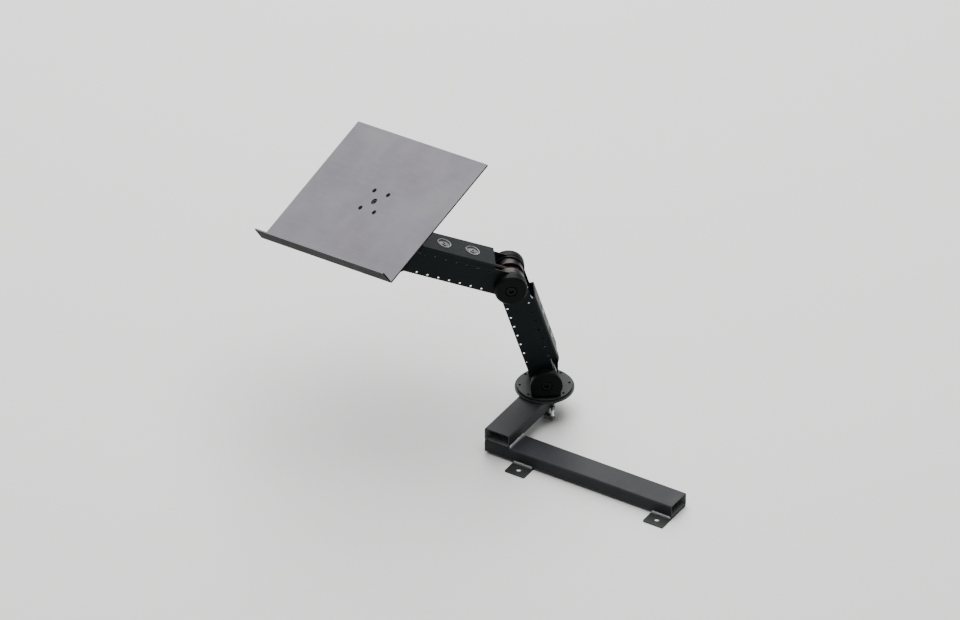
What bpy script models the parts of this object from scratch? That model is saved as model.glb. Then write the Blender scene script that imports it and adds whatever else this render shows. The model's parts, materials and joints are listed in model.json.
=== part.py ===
"""Floor-bolted articulated support arm with two damped links and a laptop tray.

Frame: metres, +Z up. The origin is the middle of the left foot strap's underside, +X runs
along the lower tube and +Y along the cross tube. The arm is drawn in the pose it rests in.
Every hinge of the arm has its own empty, with local Y along the hinge axis, local X along
the link and local Z on the link's web side.
"""
import math

import bmesh
import bpy
from mathutils import Matrix

# Driving dimensions
GAP = 0.0003
TUBE_WIDTH = 0.050
TUBE_HEIGHT = 0.025
TUBE_WALL = 0.002
TUBE_CORNER = 0.0025
LOWER_TUBE_LENGTH = 0.380
CROSS_TUBE_LENGTH = 0.205
STRAP_WIDTH = 0.040
STRAP_TAB = 0.030
STRAP_THICKNESS = 0.003
STRAP_HOLE_RADIUS = 0.0045
STRAP_SPACING = 0.281
LEFT_OVERHANG = 0.079
WELD_LEG = 0.0045

BASE_DISC_RADIUS = 0.0526
TOP_DISC_RADIUS = 0.0487
DISC_THICKNESS = 0.003
LINER_THICKNESS = 0.0006
DISC_HOLES = 8
DISC_HOLE_CIRCLE = 0.0435
DISC_HOLE_RADIUS = 0.0024
TURNTABLE_Y = 0.134

LINK = 0.214
SHEET = 0.002
ARM_AZIMUTH = math.radians(216.05)
LOWER_RISE = math.radians(73.2)
UPPER_RISE = math.radians(20.1)
WRIST_TILT = math.radians(31.86)
TRAY_ROLL = math.radians(-3.39)
TRAY_SWIVEL = math.radians(37.1)

PIVOT_HEIGHT = 0.0255
EAR_RADIUS = 0.026
EAR_THICKNESS = 0.0109
FOOT_THICKNESS = 0.0025
LOWER_HALF_WIDTH = 0.0247
UPPER_HALF_WIDTH = 0.028
FRICTION_RADIUS = 0.021
CAP_RADIUS = 0.0288
CAP_HEIGHT = 0.0157
COVER_RADIUS = 0.0285
COVER_FLAT = 0.0202
COVER_HEIGHT = 0.0072

WEB_HEIGHT = 0.0345
FLANGE_DROP = 0.0235
WEB_SETBACK = 0.040
FLANGE_SETBACK = 0.019
TONGUE_RADIUS = 0.0215
ELBOW_TONGUE_RADIUS = 0.0280
TONGUE_STEP = 0.0015
WINDOW_RADIUS = 0.0135
WINDOW_SPACING = 0.0526
ROW_HOLES = 7
ROW_PITCH = 0.020
ROW_OFFSET = 0.0195
ROW_HOLE_RADIUS = 0.0020

PIVOT_BOLT_RADIUS = 0.006
BORE_RADIUS = PIVOT_BOLT_RADIUS + GAP
BOLT_HEAD_RADIUS = 0.009
BOLT_HEAD_HEIGHT = 0.0060
COUNTERBORE_RADIUS = 0.0105
COUNTERBORE_DEPTH = 0.0066

CAM_RADIUS = 0.017
ELBOW_CAM_RADIUS = 0.026
CAM_SLEEVE_RADIUS = 0.0085
CAM_GROOVE = 0.0068
CRANK_RADIUS = 0.014
CRANK_PIN_RADIUS = 0.0025
SHOULDER_MID = math.radians(-4.0)
ELBOW_MID = math.radians(-7.5)
YOKE_CLEARANCE = 0.0008
YOKE_PRONG = 0.0048
YOKE_HALF_THICKNESS = 0.0062
YOKE_FOOT = 0.0090
YOKE_TOP = 0.0200
CYLINDER_RADIUS = 0.0155
CYLINDER_BORE = 0.0120
CYLINDER_START = 0.060
CYLINDER_END = 0.156
GLAND_LENGTH = 0.008
ROD_RADIUS = 0.005
PISTON_RADIUS = 0.0116
PISTON_LENGTH = 0.012
CAP_RIM = 0.001

TRAY_WIDTH = 0.378
TRAY_DEPTH = 0.274
TRAY_LIP = 0.0265
TRAY_SHEET = 0.0025
TRAY_HOLE_PITCH = 0.040
WRIST_FOOT_BACK = 0.042
ROLL_OFFSET = -0.0248
ROLL_HEIGHT = 0.045
TRAY_RISE = 0.060
ROLL_PIN_RADIUS = 0.004
CLEVIS_GAP = 0.0100
CLEVIS_WALL = 0.004
CLEVIS_HALF_WIDTH = 0.010
SWIVEL_RADIUS = 0.032
SWIVEL_THICKNESS = 0.0035
POST_RADIUS = 0.014
POST_FLANGE = 0.035
POST_FLANGE_THICKNESS = 0.004
TRAY_BOLT_RADIUS = 0.004
TRAY_BOLT_HEAD = 0.0058
SCREW_RADIUS = 0.002
SCREW_HEAD = 0.0040
SCREW_LENGTH = 0.0075

LEVER_REACH = 0.0302
LEVER_START = 0.012
LEVER_FRONT = -0.022
LEVER_BACK = -0.013
LEVER_LEVEL = 0.0095
LEVER_THICKNESS = 0.0035
LEVER_FOOT = 0.005
LEVER_GRIP_RADIUS = 0.0032
LEVER_GRIP_X = 0.0270
LEVER_HEAD_X = 0.0256
LEVER_HEAD_BOTTOM = 0.0260
LEVER_HEAD_TOP = 0.0340
SPINDLE_RADIUS = 0.006

# Levels up the base, each piece a gap above the last
TUBE_LEVEL = STRAP_THICKNESS + GAP
CROSS_LEVEL = TUBE_LEVEL + TUBE_HEIGHT + GAP
DISC_LEVEL = CROSS_LEVEL + TUBE_HEIGHT + GAP
LINER_LEVEL = DISC_LEVEL + DISC_THICKNESS + GAP
TOP_DISC_LEVEL = LINER_LEVEL + LINER_THICKNESS + GAP
DISC_TOP = TOP_DISC_LEVEL + DISC_THICKNESS
SHOULDER_Z = DISC_TOP + PIVOT_HEIGHT
CROSS_X = TUBE_WIDTH / 2 - LEFT_OVERHANG
ALONG_X = (0.0, math.pi / 2, 0.0)
ALONG_Y = (-math.pi / 2, 0.0, 0.0)
UPRIGHT = (math.pi / 2, 0.0, 0.0)

DISC_STEPS = 36
FINE = 24
MEDIUM = 16
COARSE = 10


def clear_scene():
    """Remove every object, so that the script can run again in the same file."""
    for item in list(bpy.data.objects):
        bpy.data.objects.remove(item, do_unlink=True)


def make_collection(name):
    """Make a collection under the scene."""
    group = bpy.data.collections.new(name)
    bpy.context.scene.collection.children.link(group)
    return group


def make_material(name, colour, roughness, metallic):
    """Make a Principled material."""
    material = bpy.data.materials.new(name)
    material.use_nodes = True
    shader = material.node_tree.nodes["Principled BSDF"]
    shader.inputs["Base Color"].default_value = (*colour, 1.0)
    shader.inputs["Roughness"].default_value = roughness
    shader.inputs["Metallic"].default_value = metallic
    return material


clear_scene()
PARTS = make_collection("support_arm")
CUTTERS = make_collection("cutters")

TUBE_BLACK = make_material("tube_black", (0.045, 0.050, 0.048), 0.50, 0.3)
SHEET_BLACK = make_material("sheet_black", (0.025, 0.030, 0.032), 0.45, 0.3)
HUB_BLACK = make_material("hub_black", (0.012, 0.013, 0.014), 0.50, 0.0)
DISC_GREY = make_material("disc_grey", (0.050, 0.058, 0.053), 0.45, 0.4)
STRAP_STEEL = make_material("strap_steel", (0.090, 0.095, 0.090), 0.50, 0.4)
WELD_SILVER = make_material("weld_silver", (0.450, 0.460, 0.450), 0.40, 0.9)
ZINC_STEEL = make_material("zinc_steel", (0.550, 0.550, 0.540), 0.30, 1.0)
CHROME_STEEL = make_material("chrome_steel", (0.650, 0.660, 0.670), 0.15, 1.0)
DARK_FASTENER = make_material("dark_fastener", (0.030, 0.030, 0.032), 0.35, 0.9)
LINER_BROWN = make_material("liner_brown", (0.200, 0.120, 0.060), 0.60, 0.0)
TRAY_GREY = make_material("tray_grey", (0.300, 0.300, 0.305), 0.40, 0.5)


def arc(centre, radius, start, end, steps):
    """Points along an arc, angles in degrees."""
    angles = [math.radians(start + (end - start) * i / steps) for i in range(steps + 1)]
    return [(centre[0] + radius * math.cos(a), centre[1] + radius * math.sin(a)) for a in angles]


def circle(centre, radius, steps):
    """Points round a full circle."""
    return arc(centre, radius, 0, 360, steps)[:-1]


def rounded_rectangle(width, height, radius, steps=3):
    """Outline of a rectangle round the origin with rounded corners."""
    x = width / 2 - radius
    y = height / 2 - radius
    points = arc((x, y), radius, 0, 90, steps) + arc((-x, y), radius, 90, 180, steps)
    points += arc((-x, -y), radius, 180, 270, steps) + arc((x, -y), radius, 270, 360, steps)
    return points


def outline_mesh(name, loops, thickness):
    """Mesh of a flat outline in XY, centred on Z = 0; the loops after the first are holes."""
    curve = bpy.data.curves.new(name, "CURVE")
    curve.dimensions = "2D"
    curve.fill_mode = "BOTH"
    curve.extrude = thickness / 2
    for points in loops:
        spline = curve.splines.new("POLY")
        spline.points.add(len(points) - 1)
        for target, (x, y) in zip(spline.points, points):
            target.co = (x, y, 0.0, 1.0)
        spline.use_cyclic_u = True
    guide = bpy.data.objects.new(name, curve)
    bpy.context.scene.collection.objects.link(guide)
    bpy.context.view_layer.update()
    evaluated = guide.evaluated_get(bpy.context.evaluated_depsgraph_get())
    mesh = bpy.data.meshes.new_from_object(evaluated)
    bpy.data.objects.remove(guide)
    bpy.data.curves.remove(curve)
    shape = bmesh.new()
    shape.from_mesh(mesh)
    bmesh.ops.remove_doubles(shape, verts=shape.verts, dist=1e-6)
    if thickness > 0:
        bmesh.ops.recalc_face_normals(shape, faces=shape.faces)
    shape.to_mesh(mesh)
    shape.free()
    return mesh


def add_object(name, mesh, material, parent, location=(0, 0, 0), rotation=(0, 0, 0)):
    """Place a mesh as a named part under a parent empty."""
    part = bpy.data.objects.new(name, mesh)
    PARTS.objects.link(part)
    mesh.materials.clear()
    mesh.materials.append(material)
    part.parent = parent
    part.location = location
    part.rotation_euler = rotation
    return part


def shade(part, angle=35):
    """Shade a round piece smooth, with sharp corners kept."""
    part.data.shade_smooth()
    part.data.set_sharp_from_angle(angle=math.radians(angle))


def plate(name, loops, thickness, material, parent, location=(0, 0, 0), rotation=(0, 0, 0)):
    """A flat plate; its local Z = 0 is the middle of its thickness."""
    mesh = outline_mesh(name, loops, thickness)
    part = add_object(name, mesh, material, parent, location, rotation)
    shade(part)
    return part


def turned(name, profile, material, parent, location=(0, 0, 0), rotation=(0, 0, 0),
           steps=MEDIUM, ring=False):
    """A turned piece round local Z; the profile runs down the outer side."""
    mesh = bpy.data.meshes.new(name)
    edges = [(i, i + 1) for i in range(len(profile) - 1)]
    if ring:
        edges.append((len(profile) - 1, 0))
    mesh.from_pydata([(r, 0.0, z) for r, z in profile], edges, [])
    part = add_object(name, mesh, material, parent, location, rotation)
    screw = part.modifiers.new("turn", "SCREW")
    screw.axis = "Z"
    screw.steps = steps
    screw.render_steps = steps
    screw.use_merge_vertices = True
    screw.merge_threshold = 1e-5
    screw.use_smooth_shade = True
    weld = part.modifiers.new("weld", "WELD")
    weld.merge_threshold = 1e-5
    return part


def ring(name, inner, outer, bottom, top, material, parent, rotation=(0, 0, 0), steps=FINE,
         location=(0, 0, 0)):
    """A plain ring or washer between two levels on local Z."""
    profile = [(inner, top), (outer, top), (outer, bottom), (inner, bottom)]
    return turned(name, profile, material, parent, location, rotation, steps, ring=True)


def guide_mesh(name, kind, size, parent, location=(0, 0, 0), rotation=(0, 0, 0), steps=COARSE):
    """A hidden cutter or joining shape: a box of a size, or a rod of radius and length."""
    shape = bmesh.new()
    if kind == "box":
        bmesh.ops.create_cube(shape, size=1.0, matrix=Matrix.Diagonal((*size, 1.0)))
    else:
        bmesh.ops.create_cone(shape, cap_ends=True, segments=steps, radius1=size[0],
                              radius2=size[-2], depth=size[-1])
    mesh = bpy.data.meshes.new(name)
    shape.to_mesh(mesh)
    shape.free()
    return hide_guide(name, mesh, parent, location, rotation)


def hide_guide(name, mesh, parent, location=(0, 0, 0), rotation=(0, 0, 0)):
    """Put a mesh in the cutters' collection."""
    guide = bpy.data.objects.new(name, mesh)
    CUTTERS.objects.link(guide)
    guide.parent = parent
    guide.location = location
    guide.rotation_euler = rotation
    guide.hide_render = True
    guide.display_type = "WIRE"
    return guide


def join_or_cut(part, guides, operation):
    """Apply each guide to the part with an exact Boolean."""
    for guide in guides:
        step = part.modifiers.new(guide.name, "BOOLEAN")
        step.operation = operation
        step.solver = "EXACT"
        step.object = guide
    return part


def axis_empty(name, parent, location=(0, 0, 0), rotation=(0, 0, 0)):
    """An empty on a joint's axis."""
    empty = bpy.data.objects.new(name, None)
    PARTS.objects.link(empty)
    empty.empty_display_size = 0.03
    empty.parent = parent
    empty.location = location
    empty.rotation_euler = rotation
    return empty


def hexagon(radius):
    """Outline of a hex nut, by its corner radius."""
    return circle((0, 0), radius, 6)


def pivot_bolt(name, half_length, head_face, material, parent):
    """A pivot bolt along local Y: head at +Y, plain shank to the far side."""
    head_top = head_face + BOLT_HEAD_HEIGHT
    chamfer = 0.0008
    profile = [(0, head_top), (BOLT_HEAD_RADIUS - chamfer, head_top),
               (BOLT_HEAD_RADIUS, head_top - chamfer), (BOLT_HEAD_RADIUS, head_face),
               (PIVOT_BOLT_RADIUS, head_face), (PIVOT_BOLT_RADIUS, -half_length),
               (0, -half_length)]
    bolt = turned(name, profile, material, parent, rotation=ALONG_Y)
    socket = guide_mesh(name + "_socket", "rod", (0.0045, 0.0045, 0.007), parent,
                        location=(0, head_top, 0), rotation=ALONG_Y, steps=6)
    return join_or_cut(bolt, [socket], "DIFFERENCE")


def hex_nut(name, corner, bore, thickness, material, parent, location, rotation):
    """A hex nut with a plain bore."""
    loops = [hexagon(corner), circle((0, 0), bore, COARSE)]
    return plate(name, loops, thickness, material, parent, location, rotation)


# ---------------------------------------------------------------- base

def make_tubes():
    """The lower tube on the foot straps, and the cross tube on its left end."""
    outer = rounded_rectangle(TUBE_WIDTH, TUBE_HEIGHT, TUBE_CORNER)
    inner = rounded_rectangle(TUBE_WIDTH - 2 * TUBE_WALL, TUBE_HEIGHT - 2 * TUBE_WALL,
                              TUBE_CORNER - TUBE_WALL / 2, 2)
    middle = LOWER_TUBE_LENGTH / 2 - LEFT_OVERHANG
    plate("lower_tube", [outer, inner], LOWER_TUBE_LENGTH, TUBE_BLACK, None,
          (middle, 0, TUBE_LEVEL + TUBE_HEIGHT / 2), (math.pi / 2, 0, math.pi / 2))
    start = -TUBE_WIDTH / 2
    cross = plate("cross_tube", [outer, inner], CROSS_TUBE_LENGTH, TUBE_BLACK, None,
                  (CROSS_X, start + CROSS_TUBE_LENGTH / 2, CROSS_LEVEL + TUBE_HEIGHT / 2),
                  UPRIGHT)
    drill = guide_mesh("spindle_drill", "rod", (0.0063, 0.0063, 0.04), None,
                       (CROSS_X, TURNTABLE_Y, CROSS_LEVEL + TUBE_HEIGHT / 2), steps=MEDIUM)
    join_or_cut(cross, [drill], "DIFFERENCE")


def make_straps():
    """Two flat foot straps under the lower tube, each with a bolt hole in its front tab."""
    loops = [rounded_rectangle(STRAP_WIDTH, TUBE_WIDTH + STRAP_TAB, 0.002),
             circle((0, -TUBE_WIDTH / 2), STRAP_HOLE_RADIUS, MEDIUM)]
    for name, x in (("foot_strap_left", 0.0), ("foot_strap_right", STRAP_SPACING)):
        plate(name, loops, STRAP_THICKNESS, STRAP_STEEL, None,
              (x, -STRAP_TAB / 2, STRAP_THICKNESS / 2))


def weld_bead(name, length, location, rotation):
    """A fillet bead: two flat legs and a rounded face, along local Z."""
    face = arc((0, 0), WELD_LEG, 0, 90, 4)
    outline = [(0, 0)] + [(x * 0.92, y * 0.92) for x, y in face]
    plate(name, [outline], length, WELD_SILVER, None, location, rotation)


def make_welds():
    """The beads where the cross tube and the straps meet the lower tube."""
    weld_bead("weld_cross", TUBE_WIDTH - 0.002,
              (CROSS_X + TUBE_WIDTH / 2 + GAP, 0, CROSS_LEVEL), UPRIGHT)
    edge = TUBE_WIDTH / 2 + GAP
    for name, x in (("weld_left", 0.0), ("weld_right", STRAP_SPACING)):
        weld_bead(name, STRAP_WIDTH - 0.002, (x, -edge, STRAP_THICKNESS + GAP),
                  (math.pi / 2, 0, -math.pi / 2))


def make_base_plate():
    """The fixed disc on the cross tube, and the spindle with its nut."""
    place = (CROSS_X, TURNTABLE_Y, DISC_LEVEL + DISC_THICKNESS / 2)
    loops = [circle((0, 0), BASE_DISC_RADIUS, DISC_STEPS),
             circle((0, 0), SPINDLE_RADIUS + GAP, MEDIUM)]
    plate("turntable_base_plate", loops, DISC_THICKNESS, DISC_GREY, None, place)

    foot_top = DISC_TOP + GAP + FOOT_THICKNESS
    head_top = foot_top + GAP + 0.004
    profile = [(0, head_top), (0.0082, head_top), (0.009, head_top - 0.0008),
               (0.009, foot_top + GAP), (SPINDLE_RADIUS, foot_top + GAP),
               (SPINDLE_RADIUS, 0.003), (0, 0.003)]
    turned("turntable_spindle", profile, ZINC_STEEL, None, (CROSS_X, TURNTABLE_Y, 0))
    nut_top = LEVER_LEVEL - GAP
    hex_nut("spindle_nut", 0.0105, SPINDLE_RADIUS + GAP, 0.005, ZINC_STEEL, None,
            (CROSS_X, TURNTABLE_Y, nut_top - 0.0025), (0, 0, 0))


def make_lock_lever():
    """The lever that clamps the turntable: a boss, an arm under the tube and a finger grip."""
    axis = axis_empty("lock_lever_axis", None, (CROSS_X, TURNTABLE_Y, 0))
    boss_top = CROSS_LEVEL - GAP
    lever = ring("lock_lever", SPINDLE_RADIUS + GAP, 0.010, LEVER_LEVEL, boss_top, ZINC_STEEL,
                 axis, steps=MEDIUM)
    outline = arc((0, 0), 0.0085, 15, -95, 8)
    outline += [(LEVER_START, LEVER_FRONT), (LEVER_REACH, LEVER_FRONT),
                (LEVER_REACH, LEVER_BACK), (LEVER_START + 0.004, LEVER_BACK)]
    arm = hide_guide("lever_arm", outline_mesh("lever_arm", [outline], LEVER_THICKNESS), axis,
                     (0, 0, LEVER_LEVEL + LEVER_THICKNESS / 2))
    width = LEVER_BACK - LEVER_FRONT
    middle = (LEVER_BACK + LEVER_FRONT) / 2
    top = LEVER_LEVEL + LEVER_THICKNESS
    foot = guide_mesh("lever_foot", "box", (LEVER_REACH - LEVER_START, width, top - LEVER_FOOT),
                      axis, ((LEVER_REACH + LEVER_START) / 2, middle, (top + LEVER_FOOT) / 2))
    grip = guide_mesh("lever_grip", "rod",
                      (LEVER_GRIP_RADIUS, LEVER_GRIP_RADIUS, LEVER_HEAD_BOTTOM - top + 0.002),
                      axis, (LEVER_GRIP_X, middle, (LEVER_HEAD_BOTTOM + top) / 2), steps=MEDIUM)
    head = guide_mesh("lever_head", "box",
                      (LEVER_REACH - LEVER_HEAD_X, width, LEVER_HEAD_TOP - LEVER_HEAD_BOTTOM),
                      axis, ((LEVER_REACH + LEVER_HEAD_X) / 2, middle,
                             (LEVER_HEAD_TOP + LEVER_HEAD_BOTTOM) / 2))
    join_or_cut(lever, [arm, foot, grip, head], "UNION")


# ---------------------------------------------------------------- brackets and hubs

def ear_outline(radius, drop):
    """A D shape: round above the pivot, straight sides down to the foot."""
    return arc((0, 0), radius, 0, 180, 14) + [(-radius, -drop), (radius, -drop)]


def pivot_bracket(name, inner_face, front, back, material, parent, foot_holes=(), up=1):
    """A U bracket round a hinge: two D ears on a thin foot, its foot below (or above) them."""
    drop = PIVOT_HEIGHT - GAP
    outer_face = inner_face + EAR_THICKNESS
    foot_width = front + back
    foot = plate(name, [rounded_rectangle(foot_width, 2 * outer_face, 0.002, 2), *foot_holes],
                 FOOT_THICKNESS, material, parent,
                 ((front - back) / 2, 0, -up * (drop - FOOT_THICKNESS / 2)))
    outline = [(x, up * y) for x, y in ear_outline(EAR_RADIUS, drop)]
    loops = [outline, circle((0, 0), BORE_RADIUS, MEDIUM)]
    guides = []
    for side in (-1, 1):
        mesh = outline_mesh(f"{name}_ear", loops, EAR_THICKNESS)
        guides.append(hide_guide(f"{name}_ear", mesh, parent,
                                 (0, side * (inner_face + EAR_THICKNESS / 2), 0), UPRIGHT))
    return join_or_cut(foot, guides, "UNION")


def sink_bolt_seats(bracket, outer_face, parent):
    """Counterbores for a pivot's bolt head and nut in a bracket's ears."""
    seats = []
    for side in (-1, 1):
        centre = side * (outer_face - COUNTERBORE_DEPTH / 2 + 0.001)
        seats.append(guide_mesh("bracket_seat", "rod",
                                (COUNTERBORE_RADIUS, COUNTERBORE_RADIUS,
                                 COUNTERBORE_DEPTH + 0.002),
                                parent, (0, centre, 0), ALONG_Y, MEDIUM))
    join_or_cut(bracket, seats, "DIFFERENCE")


def friction_pair(prefix, inner_face, outer_face, parent):
    """The friction discs between a link's cheeks and what they turn against."""
    bottom = inner_face + GAP
    top = outer_face - GAP
    ring(prefix + "_friction_near", BORE_RADIUS, FRICTION_RADIUS, bottom, top, LINER_BROWN,
         parent, ALONG_Y)
    ring(prefix + "_friction_far", BORE_RADIUS, FRICTION_RADIUS, -top, -bottom, LINER_BROWN,
         parent, ALONG_Y)


def crank_hub(name, half_length, radius, mid_angle, frame, parent_angle=0.0):
    """The hub inside a hinge: two drums on a sleeve, with a crank pin across the groove."""
    axis = axis_empty(name + "_frame", frame, rotation=(0, parent_angle, 0))
    profile = [(BORE_RADIUS, half_length), (radius, half_length), (radius, CAM_GROOVE),
               (CAM_SLEEVE_RADIUS, CAM_GROOVE), (CAM_SLEEVE_RADIUS, -CAM_GROOVE),
               (radius, -CAM_GROOVE), (radius, -half_length), (BORE_RADIUS, -half_length)]
    hub = turned(name, profile, ZINC_STEEL, axis, rotation=ALONG_Y, ring=True)
    place = (CRANK_RADIUS * math.sin(mid_angle), 0, CRANK_RADIUS * math.cos(mid_angle))
    pin = guide_mesh(name + "_pin", "rod",
                     (CRANK_PIN_RADIUS, CRANK_PIN_RADIUS, 2 * CAM_GROOVE + 0.004),
                     axis, place, ALONG_Y)
    return join_or_cut(hub, [pin], "UNION")


# ---------------------------------------------------------------- links

def cheek_end(radius):
    """One end of a cheek: from the web's edge round the hinge's tongue to the heel."""
    shoulder = radius - TONGUE_STEP
    dip = math.degrees(math.asin(shoulder / radius))
    corner = math.degrees(math.atan2(FLANGE_DROP, FLANGE_SETBACK))
    spread = math.degrees(math.acos(radius / math.hypot(FLANGE_DROP, FLANGE_SETBACK)))
    tongue = arc((0, 0), radius, dip, 360 - corner - spread, 12)
    return ([(WEB_SETBACK, WEB_HEIGHT), (WEB_SETBACK, shoulder)] + tongue
            + [(FLANGE_SETBACK, -FLANGE_DROP)])


def cheek_outline(tongues):
    """Side of a link: web along the top, a round tongue of its own radius on each hinge."""
    start, end = (cheek_end(radius) for radius in tongues)
    return start + [(LINK - x, y) for x, y in reversed(end)]


def row_holes():
    """Two rows of small holes along a cheek; each is turned, so that no corners line up."""
    first = LINK / 2 - ROW_PITCH * (ROW_HOLES - 1) / 2
    return [arc((first + i * ROW_PITCH, side * ROW_OFFSET), ROW_HOLE_RADIUS, 7 * i, 7 * i + 360,
                8)[:-1] for side in (-1, 1) for i in range(ROW_HOLES)]


def channel(name, half_width, tongues, parent):
    """A link: a folded U channel with pivot bores, hole rows and two round windows."""
    middle = half_width - SHEET / 2
    cheek = [cheek_outline(tongues), circle((0, 0), BORE_RADIUS, MEDIUM),
             circle((LINK, 0), BORE_RADIUS, MEDIUM)] + row_holes()
    web_length = LINK - 2 * WEB_SETBACK
    web = [[(WEB_SETBACK, -middle), (WEB_SETBACK + web_length, -middle),
            (WEB_SETBACK + web_length, middle), (WEB_SETBACK, middle)]]
    web += [circle((LINK / 2 + side * WINDOW_SPACING / 2, 0), WINDOW_RADIUS, FINE)
            for side in (-1, 1)]
    level = WEB_HEIGHT - SHEET / 2
    cheek[0] = [(x, min(y, level)) for x, y in cheek[0]]
    shape = bmesh.new()
    placements = [(cheek, Matrix.Translation((0, side * middle, 0))
                   @ Matrix.Rotation(math.pi / 2, 4, "X"), (0, side, 0)) for side in (-1, 1)]
    placements.append((web, Matrix.Translation((0, 0, level)), (0, 0, 1)))
    for loops, matrix, outward in placements:
        flat = outline_mesh(name + "_flat", loops, 0.0)
        flat.transform(matrix)
        before = len(shape.faces)
        shape.from_mesh(flat)
        bpy.data.meshes.remove(flat)
        shape.faces.ensure_lookup_table()
        shape.normal_update()
        added = shape.faces[before:]
        facing = sum(face.calc_area() * face.normal.dot(outward) for face in added)
        if facing < 0:
            bmesh.ops.reverse_faces(shape, faces=added)
    bmesh.ops.remove_doubles(shape, verts=shape.verts, dist=1e-6)
    mesh = bpy.data.meshes.new(name)
    shape.to_mesh(mesh)
    shape.free()
    link = add_object(name, mesh, SHEET_BLACK, parent)
    wall = link.modifiers.new("wall", "SOLIDIFY")
    wall.thickness = SHEET
    wall.offset = 0.0
    wall.use_even_offset = True
    return link


def port_cap(name, along, parent):
    """A turned cap in a window of the web, dished, with a central boss and a hex socket."""
    rim = WEB_HEIGHT + CAP_RIM
    profile = [(0, rim - 0.0012), (0.0042, rim - 0.0012), (0.0042, rim - 0.0026),
               (0.0105, rim - 0.0026), (0.0112, rim), (0.0122, rim),
               (0.0130, rim - 0.0008), (0.0130, 0.0301), (0, 0.0301)]
    cap = turned(name, profile, CHROME_STEEL, parent, (along, 0, 0))
    socket = guide_mesh(name + "_socket", "rod", (0.0025, 0.0025, 0.004), parent,
                        (along, 0, rim - 0.0012), steps=6)
    return join_or_cut(cap, [socket], "DIFFERENCE")


def cylinder(name, parent):
    """The damper's barrel along the link: closed at the far end, with a gland for the rod."""
    axis = axis_empty(name + "_axis", parent, (0, 0, CRANK_RADIUS), ALONG_X)
    bore_end = CYLINDER_END - 0.005
    gland_end = CYLINDER_START + GLAND_LENGTH
    rod_bore = ROD_RADIUS + GAP
    profile = [(0, CYLINDER_END), (0.0135, CYLINDER_END), (0.0135, CYLINDER_END - 0.004),
               (CYLINDER_RADIUS, CYLINDER_END - 0.006), (CYLINDER_RADIUS, gland_end + 0.004),
               (0.0142, gland_end + 0.003), (0.0142, CYLINDER_START + 0.001),
               (0.0132, CYLINDER_START), (rod_bore, CYLINDER_START), (rod_bore, gland_end),
               (CYLINDER_BORE, gland_end), (CYLINDER_BORE, bore_end), (0, bore_end)]
    return turned(name, profile, CHROME_STEEL, axis)


def rod(name, mid_angle, parent):
    """The damper's rod: a piston, a rod and a forked yoke that rides on the crank pin."""
    neutral = CRANK_RADIUS * math.sin(mid_angle)
    axis = axis_empty(name + "_axis", parent, (neutral, 0, CRANK_RADIUS), ALONG_X)
    slot = CRANK_PIN_RADIUS + YOKE_CLEARANCE
    edge = slot + YOKE_PRONG
    middle = (CYLINDER_START + GLAND_LENGTH + CYLINDER_END - 0.005) / 2
    piston_start = middle - PISTON_LENGTH / 2
    piston_end = middle + PISTON_LENGTH / 2
    profile = [(0, piston_end), (PISTON_RADIUS, piston_end), (PISTON_RADIUS, piston_start),
               (ROD_RADIUS, piston_start), (ROD_RADIUS, edge - 0.001), (0, edge - 0.001)]
    piece = turned(name, profile, CHROME_STEEL, axis)
    top = CRANK_RADIUS + slot
    fork = [(-edge, YOKE_FOOT), (-slot, YOKE_FOOT), (-slot, top - slot * 0.6),
            (-slot * 0.6, top), (slot * 0.6, top), (slot, top - slot * 0.6),
            (slot, YOKE_FOOT), (edge, YOKE_FOOT), (edge, YOKE_TOP), (-edge, YOKE_TOP)]
    mesh = outline_mesh(name + "_yoke", [fork], 2 * YOKE_HALF_THICKNESS)
    yoke = hide_guide(name + "_yoke", mesh, parent, (neutral, 0, 0), UPRIGHT)
    return join_or_cut(piece, [yoke], "UNION")


def damped_link(prefix, half_width, tongues, mid_angle, parent):
    """One link with its damper: channel, barrel, rod and two port caps."""
    channel(prefix + "_channel", half_width, tongues, parent)
    cylinder(prefix + "_cylinder", parent)
    rod(prefix + "_rod", mid_angle, parent)
    for number, side in ((1, -1), (2, 1)):
        port_cap(f"{prefix}_port_cap_{number}", LINK / 2 + side * WINDOW_SPACING / 2, parent)


def hub_cap(name, side, parent):
    """A black cap outside the elbow's cheeks, with a chamfered rim and a sunk bolt seat."""
    bottom = UPPER_HALF_WIDTH + GAP
    top = bottom + CAP_HEIGHT
    seat = top - COUNTERBORE_DEPTH
    profile = [(COUNTERBORE_RADIUS, top), (CAP_RADIUS - 0.003, top), (CAP_RADIUS, top - 0.003),
               (CAP_RADIUS, bottom), (BORE_RADIUS, bottom), (BORE_RADIUS, seat),
               (COUNTERBORE_RADIUS, seat)]
    turn = ALONG_Y if side > 0 else (math.pi / 2, 0, 0)
    return turned(name, profile, HUB_BLACK, parent, rotation=turn, steps=FINE, ring=True)


def hub_cover(name, side, inner_face, parent):
    """A black cover ring outside a shoulder ear, flat at its foot to clear the turntable."""
    start = math.degrees(math.asin(COVER_FLAT / COVER_RADIUS))
    outline = arc((0, 0), COVER_RADIUS, -start, 180 + start, 20)
    loops = [outline, circle((0, 0), COUNTERBORE_RADIUS, MEDIUM)]
    middle = inner_face + GAP + COVER_HEIGHT / 2
    plate(name, loops, COVER_HEIGHT, HUB_BLACK, parent, (0, side * middle, 0), UPRIGHT)


# ---------------------------------------------------------------- joints of the arm

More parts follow.
